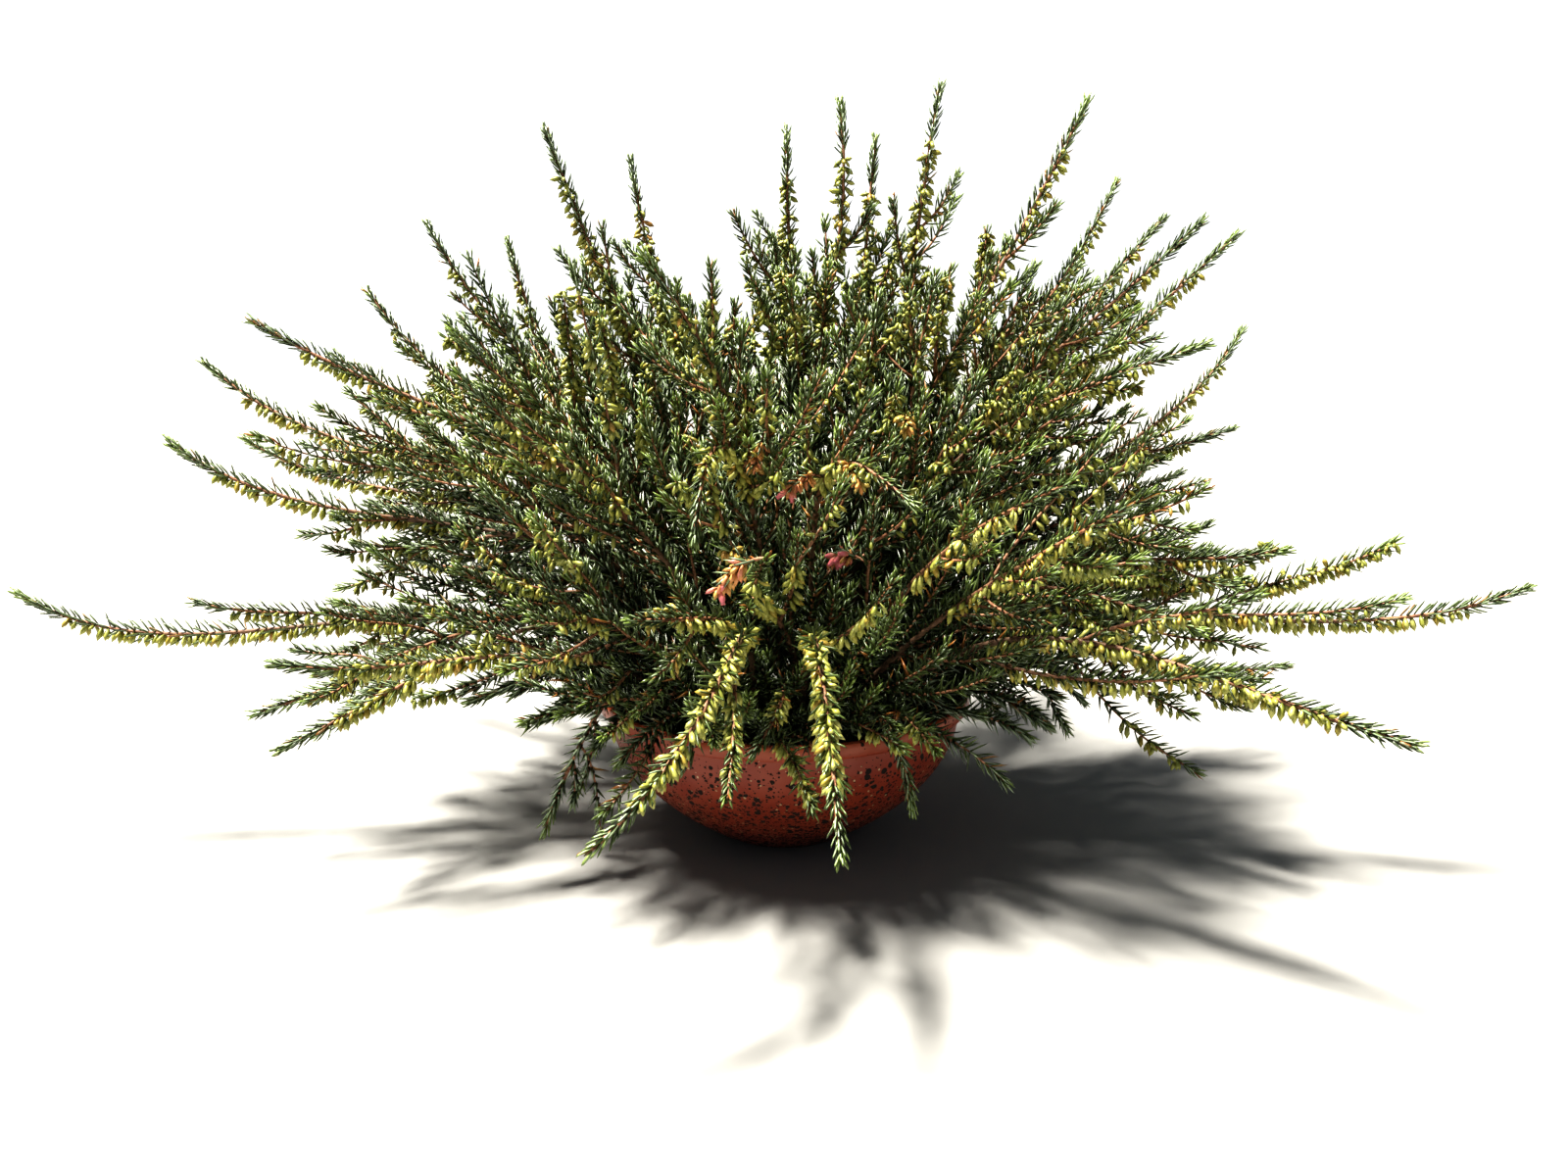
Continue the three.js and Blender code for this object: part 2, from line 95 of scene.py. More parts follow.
def setLight():
    bpy.ops.object.light_add(type="SUN")
    sun = bpy.context.object
    sun.name = "sunlight"
    sun.rotation_euler = Vector(light["sunFrom"]).to_track_quat("Z", "Y").to_euler()
    sun.data.energy = light["sunStrength"]
    sun.data.angle = math.radians(light["sunWidth"])
    sun.data.color = light["sunColour"]
    bpy.context.scene.view_settings.view_transform = "Standard"
    bpy.context.scene.view_settings.look = "High Contrast"
    world = bpy.data.worlds.new("paleStudio")
    bpy.context.scene.world = world
    world.use_nodes = True
    tree = world.node_tree
    tree.nodes.clear()
    seen = put(tree, "ShaderNodeLightPath").outputs["Is Camera Ray"]
    sky = {"Color": light["skyColour"], "Strength": light["skyStrength"]}
    back = {"Color": light["backColour"], "Strength": light["backStrength"]}
    lit = put(tree, "ShaderNodeBackground", sky).outputs[0]
    shown = put(tree, "ShaderNodeBackground", back).outputs[0]
    both = put(tree, "ShaderNodeMixShader", {0: seen, 1: lit, 2: shown}).outputs[0]
    put(tree, "ShaderNodeOutputWorld", {"Surface": both})


def setStage():
    bpy.ops.object.select_all(action="DESELECT")
    bpy.ops.mesh.primitive_circle_add(
        vertices=stage["sides"], radius=stage["radius"] * mm, fill_type="NGON"
    )
    floor = bpy.context.object
    floor.name = "paleFloor"
    material = bpy.data.materials.new("floorPaint")
    material.use_nodes = True
    surface = material.node_tree.nodes["Principled BSDF"]
    surface.inputs["Base Color"].default_value = stage["colour"]
    surface.inputs["Roughness"].default_value = stage["roughness"]
    surface.inputs["Specular IOR Level"].default_value = stage["gloss"]
    floor.data.materials.append(material)


# Growth: the same rule and the same random numbers as the plant's solids

bowl = {
    "height": 60,
    "rimRadius": 75,
    "rimDepth": 6,
    "bandRadius": 71,
    "footRadius": 28,
    "wallCurve": 2.1,
    "wallThickness": 2.4,
    "drainCount": 4,
    "drainRadius": 3.5,
    "drainCircle": 16,
}

soil = {"top": 52, "gap": 0.3, "shootDepth": 4}

growth = {
    "seed": 101,
    "crownRadius": 50,
    "crownLean": 1.9,
    "stemCount": 58,
    "footDepth": 9.6,
    "collarHeight": 3,
    "leaveHandle": 0.38,
    "tipHandle": 0.3,
    "pathSteps": 24,
    "shortSteps": 16,  # of the short shoots
    "leastBare": 45,
    "bareShare": 0.3,
    "whorlSpan": 3.2,
    "whorlSpacing": 24.5,
    "tipCone": 6,
}

forking = {
    "shares": (0.05, 0.35),
    "reach": (0.4, 0.7),
    "angle": 34,
    "rolls": 9,
    "clearance": 14,
    "shortest": 34,
    "longest": 95,
    "handle": 0.35,
    "follow": (0.6, 0.8),
    "lift": 0.45,
    "lowest": 66,
    "bare": 12,
}

filling = {
    "domeRadius": 245,
    "frontDent": 0.42,
    "heights": (0.02, 0.93),
    "shares": (0.84, 1.06),
    "tipRise": (-5, 22),
    "tipSwing": (-15, 15),
    "leastLeave": 63,
    "tries": 40,
    "clearance": 4.6,
    "footPoints": 3,
}

# For each stem that stands out in the photograph: the heading of its tip from +X, the tip's reach from the
# bowl's axis and its height, its slope at the soil and at the tip, and the tip's swing
shownStems = [
    # the front, hanging over the rim
    (-85, 171, 65, 75, -45, 0),
    (-107, 178, 66, 78, -35, -50),
    (-96, 106, 68, 66, -30, -35),
    (-61, 91, 38, 72, -82, 0),
    (-40, 94, 66, 55, 0, 20),
    (-146, 106, 20, 72, -68, 0),
    (0, 124, 50, 58, -45, 0),
    # the front, above the rim
    (-104, 111, 137, 86, -75, 0),
    (-70, 114, 148, 82, -30, 20),
    (-109, 137, 119, 65, 10, -30),
    (-92, 135, 138, 70, 30, 20),
    (-131, 120, 129, 65, 75, 0),
    (-119, 91, 223, 88, 50, -30),
    (-58, 153, 159, 55, 25, 10),
    (-49, 160, 154, 50, 32, 0),
    # the right side, from the bottom up
    (-41, 229, 89, 51, -5, 0),
    (-34, 163, 105, 61, -14, 0),
    (-11, 269, 111, 41, 28, 0),
    (-6, 179, 107, 56, 10, 0),
    (-19, 183, 126, 76, 15, 0),
    (9, 188, 160, 76, 17, 0),
    (-15, 153, 195, 74, 18, 0),
    (21, 221, 201, 61, 60, 0),
    (8, 181, 237, 66, 44, 0),
    (-4, 153, 239, 71, 46, 0),
    (23, 179, 248, 64, 45, 0),
    (29, 167, 264, 54, 60, 0),
    (0, 111, 282, 71, 66, 0),
    # the left side, from the bottom up
    (-155, 189, 61, 62, -20, 0),
    (-169, 203, 59, 51, -15, 0),
    (-152, 128, 71, 61, -10, 0),
    (-152, 189, 94, 51, 18, 0),
    (-176, 294, 102, 46, 38, 0),
    (-175, 230, 160, 74, 42, 0),
    (166, 247, 154, 71, 30, 0),
    (175, 234, 188, 74, 45, 0),
    (-174, 194, 203, 80, 33, 0),
    (-161, 122, 200, 80, 50, 0),
    (164, 183, 217, 76, 57, 0),
    (165, 150, 242, 71, 62, 0),
    # the upright ones, from left to right
    (142, 161, 241, 50, 74, 0),
    (133, 136, 233, 60, 70, 0),
    (168, 94, 276, 62, 70, 0),
    (137, 88, 270, 69, 78, 0),
    (89, 60, 282, 80, 88, 0),
    (26, 23, 284, 84, 80, 120),
    (53, 62, 277, 75, 83, 0),
    (19, 63, 291, 78, 80, 0),
]


def randomFrom(start):
    state = start
    while True:
        state = (state * 16807) % 2147483647
        yield state / 2147483647


draws = randomFrom(growth["seed"])


def between(low, high):
    return low + (high - low) * next(draws)


def halfUp(x):
    return math.floor(x + 0.5)


def unit(v):
    return v / np.linalg.norm(v)


def toward(heading, slope):
    heading, slope = math.radians(heading), math.radians(slope)
    level = math.cos(slope)
    return np.array([level * math.cos(heading), level * math.sin(heading), math.sin(slope)])


def turned(v, axis, angle):
    aside = np.cross(axis, v) * math.sin(angle)
    return v * math.cos(angle) + aside + axis * (axis @ v) * (1 - math.cos(angle))


def curvePoints(handles, count):
    t = np.linspace(0, 1, count + 1)[:, None]
    a, b, c, d = handles
    return (1 - t) ** 3 * a + 3 * (1 - t) ** 2 * t * b + 3 * (1 - t) * t * t * c + t ** 3 * d


def pathOf(handles, count, ahead=()):
    points = np.array([*ahead, *curvePoints(handles, count)])
    along = np.concatenate([[0], np.cumsum(np.linalg.norm(np.diff(points, axis=0), axis=1))])
    return {"handles": handles, "ahead": list(ahead), "points": points, "along": along, "length": along[-1]}


def onPath(path, distance):
    points, along = path["points"], path["along"]
    last = len(points) - 1
    i = min(max(int(np.searchsorted(along, distance)), 1), last)
    share = (distance - along[i - 1]) / (along[i] - along[i - 1])
    place = points[i - 1] + (points[i] - points[i - 1]) * share
    return place, unit(points[min(i + 1, last)] - points[max(i - 2, 0)])


def clearance(points, others):
    gaps = points[:, None, :] - np.concatenate(others)[None, :, :]
    return math.sqrt((gaps * gaps).sum(2).min())


def roomiest(paths, least, others, footPoints):
    # the path that keeps farthest from the others, if one keeps farther than the least
    best = (least, None)
    for path in paths:
        room = clearance(path["points"][footPoints:], others)
        if room > best[0]:
            best = (room, path)
    return best[1]


def whorlsOf(path, leafStart):
    leafEnd = path["length"] - growth["tipCone"] - growth["whorlSpan"]
    count = max(1, halfUp((leafEnd - leafStart) / growth["whorlSpacing"]))
    return leafStart + (leafEnd - leafStart) * np.arange(count + 1) / count


def plantingSpots():
    count = growth["stemCount"]
    radius = growth["crownRadius"] * np.sqrt((np.arange(count) + 0.5) / count)
    turn = np.arange(count) * goldenAngle
    height = np.full(count, soil["top"] + growth["collarHeight"], float)
    return np.stack([radius * np.cos(turn), radius * np.sin(turn), height], 1)


def stemPath(root, row):
    heading, reach, height, leaveSlope, tipSlope, swing = row
    tip = toward(heading, 0) * reach
    tip[2] = height
    rootHeading = math.degrees(math.atan2(tip[1] - root[1], tip[0] - root[0]))
    span = np.linalg.norm(tip - root) * (1 + max(0, leaveSlope - tipSlope) / 180)
    handles = (
        root,
        root + toward(rootHeading, leaveSlope) * growth["leaveHandle"] * span,
        tip - toward(heading + swing, tipSlope) * growth["tipHandle"] * span,
        tip,
    )
    foot = np.array([root[0], root[1], soil["top"] - growth["footDepth"]])
    path = pathOf(handles, growth["pathSteps"], (foot, (foot + root) / 2))
    path["whorls"] = whorlsOf(path, max(growth["leastBare"], growth["bareShare"] * path["length"]))
    path["kind"] = "stem"
    return path


def someStem():
    heading = between(-180, 180)
    slope = math.degrees(math.asin(between(*filling["heights"])))
    level = math.cos(math.radians(slope))
    front = max(0, -math.sin(math.radians(heading))) * level
    radius = filling["domeRadius"] * between(*filling["shares"]) * (1 - filling["frontDent"] * front)
    height = soil["top"] + radius * math.sin(math.radians(slope))
    leave = filling["leastLeave"] + slope / 2
    tipSlope = slope + between(*filling["tipRise"])
    return heading, radius * level, height, leave, tipSlope, between(*filling["tipSwing"])


def sideShoot(place, direction, roll, reach, angle=forking["angle"]):
    across = turned(unit(np.cross(direction, up)), direction, roll)
    leave = turned(direction, across, math.radians(angle))
    middle = unit(leave + direction * forking["follow"][0])
    end = unit(leave + direction * forking["follow"][1] + up * forking["lift"])
    tip = place + middle * reach
    handle = forking["handle"] * reach
    return pathOf((place, place + leave * handle, tip - end * handle, tip), growth["pathSteps"])


def growStems():
    spots = plantingSpots()
    free = list(range(len(spots)))

    def spotFor(row):
        heading, reach, height = row[:3]
        lean = math.atan2(reach, height - soil["top"]) / math.pi
        wish = toward(heading, 0) * growth["crownRadius"] * min(1, growth["crownLean"] * lean)
        wish[2] = soil["top"] + growth["collarHeight"]
        return min(free, key=lambda i: np.linalg.norm(spots[i] - wish))

    sprays = []
    for row in shownStems:
        spot = spotFor(row)
        free.remove(spot)
        sprays.append([stemPath(spots[spot], row)])
    while len(sprays) < growth["stemCount"]:
        stems = [spray[0]["points"] for spray in sprays]
        best = (-1, None, None)
        for _ in range(filling["tries"]):
            row = someStem()
            spot = spotFor(row)
            path = stemPath(spots[spot], row)
            room = clearance(path["points"][growth["pathSteps"] // 2:], stems)
            passes = clearance(path["points"][filling["footPoints"]:], stems) > filling["clearance"]
            if passes and room > best[0]:
                best = (room, spot, path)
        free.remove(best[1])
        sprays.append([best[2]])
    return sprays


def growForks(sprays):
    for spray in sprays:
        stem = spray[0]
        for share in forking["shares"]:
            whorl = stem["whorls"][halfUp(share * (len(stem["whorls"]) - 1))]
            reach = (stem["length"] - whorl) * between(*forking["reach"])
            firstRoll = between(0, 2 * math.pi)
            if reach < forking["shortest"]:
                continue
            others = [path["points"] for other in sprays for path in (other[1:] if other is spray else other)]
            place, direction = onPath(stem, whorl + growth["whorlSpan"] / 2)
            reach = min(reach, forking["longest"])
            rolls = [firstRoll + i * 2 * math.pi / forking["rolls"] for i in range(forking["rolls"])]
            paths = [sideShoot(place, direction, roll, reach) for roll in rolls]
            high = [path for path in paths if path["points"][:, 2].min() >= forking["lowest"]]
            best = roomiest(high, forking["clearance"], others, filling["footPoints"] + 1)
            if best:
                best["kind"] = "shoot"
                spray.append(best)


# Twigs: the short side shoots that fill the bush

twigging = {
    "seed": 7,
    "stretch": (0.09, 0.8),  # of the shoot that carries them
    "bareFoot": 12,  # of a stem, above the soil
    "startSpread": 8,
    "step": 9.5,
    "stepSpread": 3,
    "reach": (64, 24),  # at the stretch's start and end
    "spread": (0.6, 1.3),
    "angle": (30, 66),
    "rolls": 5,
    "clearance": 2.0,
    "footPoints": 8,  # points of a twig that may lie close to what carries it
    "nearby": 30,
    "lowest": 8,
    "widest": 158,  # no twigs start farther from the bowl's axis, so that the long stems end bare
    "bowlGap": 2.5,
    "hollow": (0, -72, 106),  # the dark place that the photograph looks into, and its half-widths
    "hollowSize": (66, 42, 34),
    "ropes": (-60, 95),  # stems that end nearer the front and lower than this hang bare of twigs
}

# Leafy shoots that rise from the soil between the stems
lowShoots = {
    "kind": "twig",
    "seed": 8,
    "count": 230,
    "tries": 6,
    "spotRadius": 66,
    "firstHeading": 20,
    "reach": (190, 52),  # in the middle of the bowl and at its rim
    "spread": (0.35, 1.0),
    "slope": (84, 30),
    "slopeSpread": 12,
    "swing": 40,
    "handle": 0.3,
    "tipLift": 0.4,
    "clearance": 2.0,
    "bowlGap": 1.0,
    "budded": 0,
}

# Short leafy shoots that hang over the rim: where they start, and how far out and how high they end
rimShoots = {
    "kind": "rim",
    "seed": 10,
    "count": 40,
    "tries": 8,
    "spotRadius": (52, 63),
    "reach": (84, 112),
    "height": (44, 78),
    "rise": (24, 40),
    "swing": 24,
    "tipHandle": 16,
    "levelAt": 10,  # above the bowl, where a tip points straight out
    "droopOver": 20,  # the fall from there that turns it down by 45 degrees
    "clearance": 1.8,
    "bowlGap": 1.5,
    "budded": 0.5,
}

rootPoints = {"bowlTest": 5, "roomTest": 4}  # the first points of these shoots, which the tests leave out


def wallRadius(z):
    rise = np.clip(z / (bowl["height"] - bowl["rimDepth"]), 0, 1)
    return bowl["bandRadius"] - (bowl["bandRadius"] - bowl["footRadius"]) * (1 - rise) ** bowl["wallCurve"]


def inBowl(points, gap):
    radius = np.hypot(points[:, 0], points[:, 1])
    z = points[:, 2]
    wall = np.where(z > bowl["height"] - bowl["rimDepth"] - gap, bowl["rimRadius"], wallRadius(z))
    overSoil = (radius < bowl["bandRadius"] - bowl["wallThickness"] - gap) & (z > soil["top"] + gap)
    return bool(((z < bowl["height"] + gap) & (radius < wall + gap) & ~overSoil).any())


def inHollow(points):
    return bool((((points - twigging["hollow"]) / twigging["hollowSize"]) ** 2).sum(1).min() < 1)


def goldenTurns(turn):
    while True:
        turn += goldenAngle
        yield turn


def twigsTried(place, direction, turns, reach, angle):
    for _ in range(twigging["rolls"]):
        twig = sideShoot(place, direction, next(turns), reach, angle)
        outer = twig["points"][twigging["footPoints"]:]
        hits = inBowl(outer, twigging["bowlGap"]) or inHollow(outer)
        if outer[:, 2].min() >= twigging["lowest"] and not hits:
            yield twig


def growTwigs(sprays):
    chance = np.random.default_rng(twigging["seed"])
    cloud = [path["points"] for spray in sprays for path in spray]
    middles = [points.mean(0) for points in cloud]
    widths = [np.ptp(points, axis=0).max() / 2 for points in cloud]
    grown = 0
    for spray in sprays:
        tip = spray[0]["points"][-1]
        spray[0]["rope"] = bool(tip[1] < twigging["ropes"][0] and tip[2] < twigging["ropes"][1])
        if spray[0]["rope"]:
            continue
        for path in list(spray):
            start, end = (share * path["length"] for share in twigging["stretch"])
            if path is spray[0]:
                start = max(start, growth["footDepth"] + twigging["bareFoot"])
            turns = goldenTurns(chance.uniform(0, 2 * math.pi))
            first = start + chance.uniform(0, twigging["startSpread"])
            for distance in np.arange(first, end, twigging["step"]):
                aside = chance.uniform(-twigging["stepSpread"], twigging["stepSpread"])
                place, direction = onPath(path, distance + aside)
                if math.hypot(place[0], place[1]) > twigging["widest"]:
                    break
                share = (distance - start) / (end - start)
                reach = twigging["reach"][0] * (1 - share) + twigging["reach"][1] * share
                reach *= chance.uniform(*twigging["spread"])
                angle = chance.uniform(*twigging["angle"])
                away = np.abs(np.array(middles) - place).max(1) - np.array(widths)
                near = [cloud[i] for i in np.flatnonzero(away < reach + twigging["nearby"])]
                tried = list(twigsTried(place, direction, turns, reach, angle))
                twig = roomiest(tried, twigging["clearance"], near, twigging["footPoints"])
                if twig:
                    twig["kind"] = "twig"
                    spray.append(twig)
                    cloud.append(twig["points"])
                    middles.append(twig["points"].mean(0))
                    widths.append(np.ptp(twig["points"], axis=0).max() / 2)
                    grown += 1
    return cloud, grown


def lowHandles(i, chance):
    share = math.sqrt((i + 0.5) / lowShoots["count"])
    heading = math.degrees(i * goldenAngle) + lowShoots["firstHeading"]
    root = toward(heading, 0) * (lowShoots["spotRadius"] * share)
    root[2] = soil["top"] - soil["shootDepth"]
    slope = lowShoots["slope"][0] * (1 - share) + lowShoots["slope"][1] * share
    swing = chance.uniform(-lowShoots["swing"], lowShoots["swing"])
    rise = chance.uniform(-lowShoots["slopeSpread"], lowShoots["slopeSpread"])
    aim = toward(heading + swing, slope + rise)
    reach = lowShoots["reach"][0] * (1 - share) + lowShoots["reach"][1] * share
    reach *= chance.uniform(*lowShoots["spread"])
    tip = root + aim * reach
    lifted = unit(aim + up * lowShoots["tipLift"])
    return root, root + up * reach * lowShoots["handle"], tip - lifted * reach * lowShoots["handle"], tip


def rimHandles(i, chance):
    heading = 360 * i / rimShoots["count"]
    root = toward(heading, 0) * chance.uniform(*rimShoots["spotRadius"])
    root[2] = soil["top"] - soil["shootDepth"]
    swung = heading + chance.uniform(-1, 1) * rimShoots["swing"]
    tip = toward(swung, 0) * chance.uniform(*rimShoots["reach"])
    tip[2] = chance.uniform(*rimShoots["height"])
    lifted = up * chance.uniform(*rimShoots["rise"])
    outward = unit((tip - root) * (1, 1, 0))
    drop = bowl["height"] + rimShoots["levelAt"] - tip[2]
    hanging = unit(outward - up * drop / rimShoots["droopOver"])
    return root, root + lifted, tip - hanging * rimShoots["tipHandle"], tip


def growShortShoots(values, handles, cloud):
    chance = np.random.default_rng(values["seed"])
    shoots = []
    for i in range(values["count"]):
        tried = [pathOf(handles(i, chance), growth["shortSteps"]) for _ in range(values["tries"])]
        first = rootPoints["bowlTest"]
        clear = [path for path in tried if not inBowl(path["points"][first:], values["bowlGap"])]
        best = roomiest(clear, values["clearance"], cloud, rootPoints["roomTest"])
        if best:
            best["kind"] = values["kind"]
            best["budded"] = values["budded"] > 0 and chance.uniform() < values["budded"]
            shoots.append(best)
            cloud.append(best["points"])
    return shoots


# Short racemes in colour near the front: where each one's tip is, and how far its buds are
blooming = {
    "spots": (
        ((-19, -127, 127), 0.82),
        ((16, -48, 120), 0.9),
        ((1, -70, 147), 0.85),
        ((-10, -77, 155), 0.6),
        ((24, -90, 152), 0.45),
        ((40, -71, 168), 0.4),
        ((-19, -102, 134), 0.3),
        ((-42, -116, 114), 0.15),
    ),
    "nearest": 17,  # to the shoot that carries it
    "footPoints": 4,
    "bend": 0.35,
    "rise": 4,
    "droop": 0.8,
}


def growBlooms(sprays):
    foot = blooming["footPoints"]
    for tip, blush in blooming["spots"]:
        best = (math.inf, None, None)
        for spray in sprays:
            for path in spray:
                if path["kind"] == "twig":
                    continue
                gaps = np.linalg.norm(path["points"][foot:] - tip, axis=1)
                gaps[gaps < blooming["nearest"]] = math.inf
                if gaps.min() < best[0]:
                    best = (gaps.min(), spray, path["points"][foot + int(gaps.argmin())])
        reach, spray, root = best
        tip = np.array(tip, float)
        rising = (tip - root) * blooming["bend"] + up * blooming["rise"]
        drooping = unit(unit(tip - root) - up * blooming["droop"]) * blooming["bend"] * reach
        path = pathOf((root, root + rising, tip - drooping, tip), growth["shortSteps"])
        path.update(kind="twig", budded=True, raceme=True, blush=blush)
        spray.append(path)


# The small things that repeat, each modelled once: the sides of its form, and its rings' distance from the
# foot, width and depth, in mm for the flowers and with the distance as a share of the length for the leaves
flatForms = {
    "leaf": (3, ((0, 0.36, 0.28), (0.4, 0.60, 0.42), (0.8, 0.52, 0.36), (1, 0, 0))),
    "plainLeaf": (3, ((0, 0.46, 0.34), (0.6, 0.60, 0.42), (1, 0, 0))),
    "needle": (3, ((0, 0.62, 0.46), (1, 0, 0))),
}

roundForms = {
    "bud": (4, ((0, 0.3, 0.3), (1.7, 1.0, 1.0), (3.8, 1.12, 1.12), (5.8, 0, 0))),
    "bloom": (8, (
        (0, 0.35, 0.35), (1.4, 1.1, 1.1), (3.4, 1.5, 1.5), (5.2, 1.25, 1.25), (5.9, 0.85, 0.85),
        (6.9, 1.15, 1.15), (6.6, 0.7, 0.7), (5.6, 0, 0),
    )),
}

# Bark: the sides and rings of each kind of shoot, its radius at the foot and at the tip, in mm
barkForm = {
    "rings": {"stem": (6, 44), "shoot": (5, 20), "twig": (4, 9), "rim": (4, 9)},
    "radii": {"stem": (1.55, 0.55), "shoot": (0.85, 0.42), "twig": (0.62, 0.36), "rim": (0.7, 0.4)},
    "curveSteps": {"stem": 64, "shoot": 64, "twig": 24, "rim": 24},
    "taper": 0.8,
    "knobs": 0.1,
    "youngEnd": 25,
    "agesOver": 90,
    "uvLength": 10,
}


def drawOut(name, sides, rings, firstCorner=0):
    bpy.ops.object.select_all(action="DESELECT")
    height, width, depth = rings[0]
    bpy.ops.mesh.primitive_circle_add(
        vertices=sides, radius=1, fill_type="NGON", location=(0, 0, height), rotation=(0, 0, firstCorner)
    )
    piece = bpy.context.object
    piece.name = name
    bpy.ops.object.transform_apply()
    bpy.ops.object.mode_set(mode="EDIT")
    bpy.ops.mesh.select_all(action="SELECT")
    bpy.ops.transform.resize(value=(width, depth, 1), center_override=(0, 0, height))
    for z, newWidth, newDepth in rings[1:]:
        bpy.ops.mesh.extrude_region_move(TRANSFORM_OT_translate={"value": (0, 0, z - height)})
        if newWidth == 0:
            bpy.ops.mesh.merge(type="CENTER")
        else:
            change = (newWidth / width, newDepth / depth, 1)
            bpy.ops.transform.resize(value=change, center_override=(0, 0, z))
        height, width, depth = z, newWidth, newDepth
    bpy.ops.mesh.select_all(action="SELECT")
    bpy.ops.mesh.normals_make_consistent(inside=False)
    bpy.ops.object.mode_set(mode="OBJECT")
    return piece


def readForm(piece, underside=False):
    mesh = piece.data
    count = len(mesh.vertices)
    co = np.zeros(count * 3)
    mesh.vertices.foreach_get("co", co)
    co = co.reshape(-1, 3)
    loops = np.zeros(len(mesh.loops), int)
    mesh.loops.foreach_get("vertex_index", loops)
    sizes = np.array([p.loop_total for p in mesh.polygons])
    angle = (np.arctan2(co[:, 1], co[:, 0]) / (2 * math.pi)) % 1
    uv = np.stack([angle[loops], co[loops, 2] / co[:, 2].max()], 1)
    for face in mesh.polygons:
        corners = slice(face.loop_start, face.loop_start + face.loop_total)
        if underside and face.normal.y < -0.7:
            width = max(abs(co[loops[corners], 0]).max(), 1e-6)
            uv[corners, 0] = 0.5 + co[loops[corners], 0] / (2 * width)
        elif underside:
            uv[corners, 0] = 3
        elif np.ptp(uv[corners, 0]) > 0.5:
            uv[corners, 0] += uv[corners, 0] < 0.5
    bpy.data.objects.remove(piece)
    bpy.data.meshes.remove(mesh)
    return {"co": co, "loops": loops, "sizes": sizes, "uv": uv}


def makeForms():
    forms = {}
    for name, (sides, rings) in flatForms.items():
        forms[name] = readForm(drawOut(name + "Form", sides, rings, math.radians(90)), True)
    for name, (sides, rings) in roundForms.items():
        forms[name] = readForm(drawOut(name + "Form", sides, rings))
    for kind, (sides, count) in barkForm["rings"].items():
        profile = [(i / count, 1, 1) for i in range(count)] + [(1, 0, 0)]
        forms[kind] = readForm(drawOut(kind + "Form", sides, profile))
    return forms


# Copies of a form: each has a place, the ways that its x, y and z point, sizes and marks

def copies(form, place, x, y, z, width, length, bend, material, **marks):
    co = form["co"]
    count, points = len(place), len(co)
    side, face, along = (co[None, :, k, None] for k in range(3))
    wide = np.broadcast_to(width, count)[:, None, None]
    long = np.broadcast_to(length, count)[:, None, None]
    arch = np.broadcast_to(bend, count)[:, None, None] * (along / co[:, 2].max()) ** 2
    moved = place[:, None] + side * wide * x[:, None] + (face * wide + arch) * y[:, None]
    moved = moved + along * long * z[:, None]
    return {
        "co": moved.reshape(-1, 3),
        "loops": (form["loops"][None] + np.arange(count)[:, None] * points).ravel(),
        "sizes": np.tile(form["sizes"], count),
        "uv": np.tile(form["uv"], (count, 1)),
        "material": material,
        "marks": {key: np.repeat(np.broadcast_to(value, count), points) for key, value in marks.items()},
    }


def copiesOf(choices, values, material, marks):
    made = []
    for form, some in choices:
        if some.any():
            chosen = {key: value[some] for key, value in marks.items()}
            made.append(copies(form, *(value[some] for value in values), material, **chosen))
    return made


def framesAlong(path):
    if "frames" in path:
        return path["frames"]
    steps = barkForm["curveSteps"][path["kind"]]
    points = np.array([*path["ahead"], *curvePoints(path["handles"], steps)])
    along = np.concatenate([[0], np.cumsum(np.linalg.norm(np.diff(points, axis=0), axis=1))])
    tangents = np.gradient(points, axis=0)
    tangents /= np.linalg.norm(tangents, axis=1)[:, None]
    sides = np.zeros_like(tangents)
    side = np.cross(tangents[0], (0.3, 1.0, 0.2))
    for i, tangent in enumerate(tangents):
        side = unit(side - tangent * (side @ tangent))
        sides[i] = side
    path["frames"] = {"points": points, "along": along, "tangents": tangents, "sides": sides}
    return path["frames"]


def normalised(vectors):
    return vectors / np.linalg.norm(vectors, axis=1)[:, None]


def framesAt(path, distances):
    frames = framesAlong(path)
    points, tangent, side = (
        np.stack([np.interp(distances, frames["along"], values[:, k]) for k in range(3)], 1)
        for values in (frames["points"], frames["tangents"], frames["sides"])
    )
    tangent = normalised(tangent)
    side = normalised(side - tangent * (side * tangent).sum(1)[:, None])
    return points, tangent, side, np.cross(tangent, side)


def barkAlong(form, path, chance):
    co = form["co"]
    length = framesAlong(path)["along"][-1]
    place, _, side, across = framesAt(path, co[:, 2] * length)
    thick, thin = barkForm["radii"][path["kind"]]
    radius = thick + (thin - thick) * co[:, 2] ** barkForm["taper"]
    knobs = chance.uniform(1 - barkForm["knobs"], 1 + barkForm["knobs"], len(co))
    moved = place + (side * co[:, :1] + across * co[:, 1:2]) * (radius * knobs)[:, None]
    age = np.clip((length * (1 - co[:, 2]) - barkForm["youngEnd"]) / barkForm["agesOver"], 0, 1)
    tone = chance.uniform()
    return {
        "co": moved,
        "loops": form["loops"],
        "sizes": form["sizes"],
        "uv": form["uv"] * (1, length / barkForm["uvLength"]),
        "material": 1,
        "marks": {"tone": np.full(len(co), tone), "age": age, "blush": np.zeros(len(co))},
    }


# Leaves and buds along a shoot

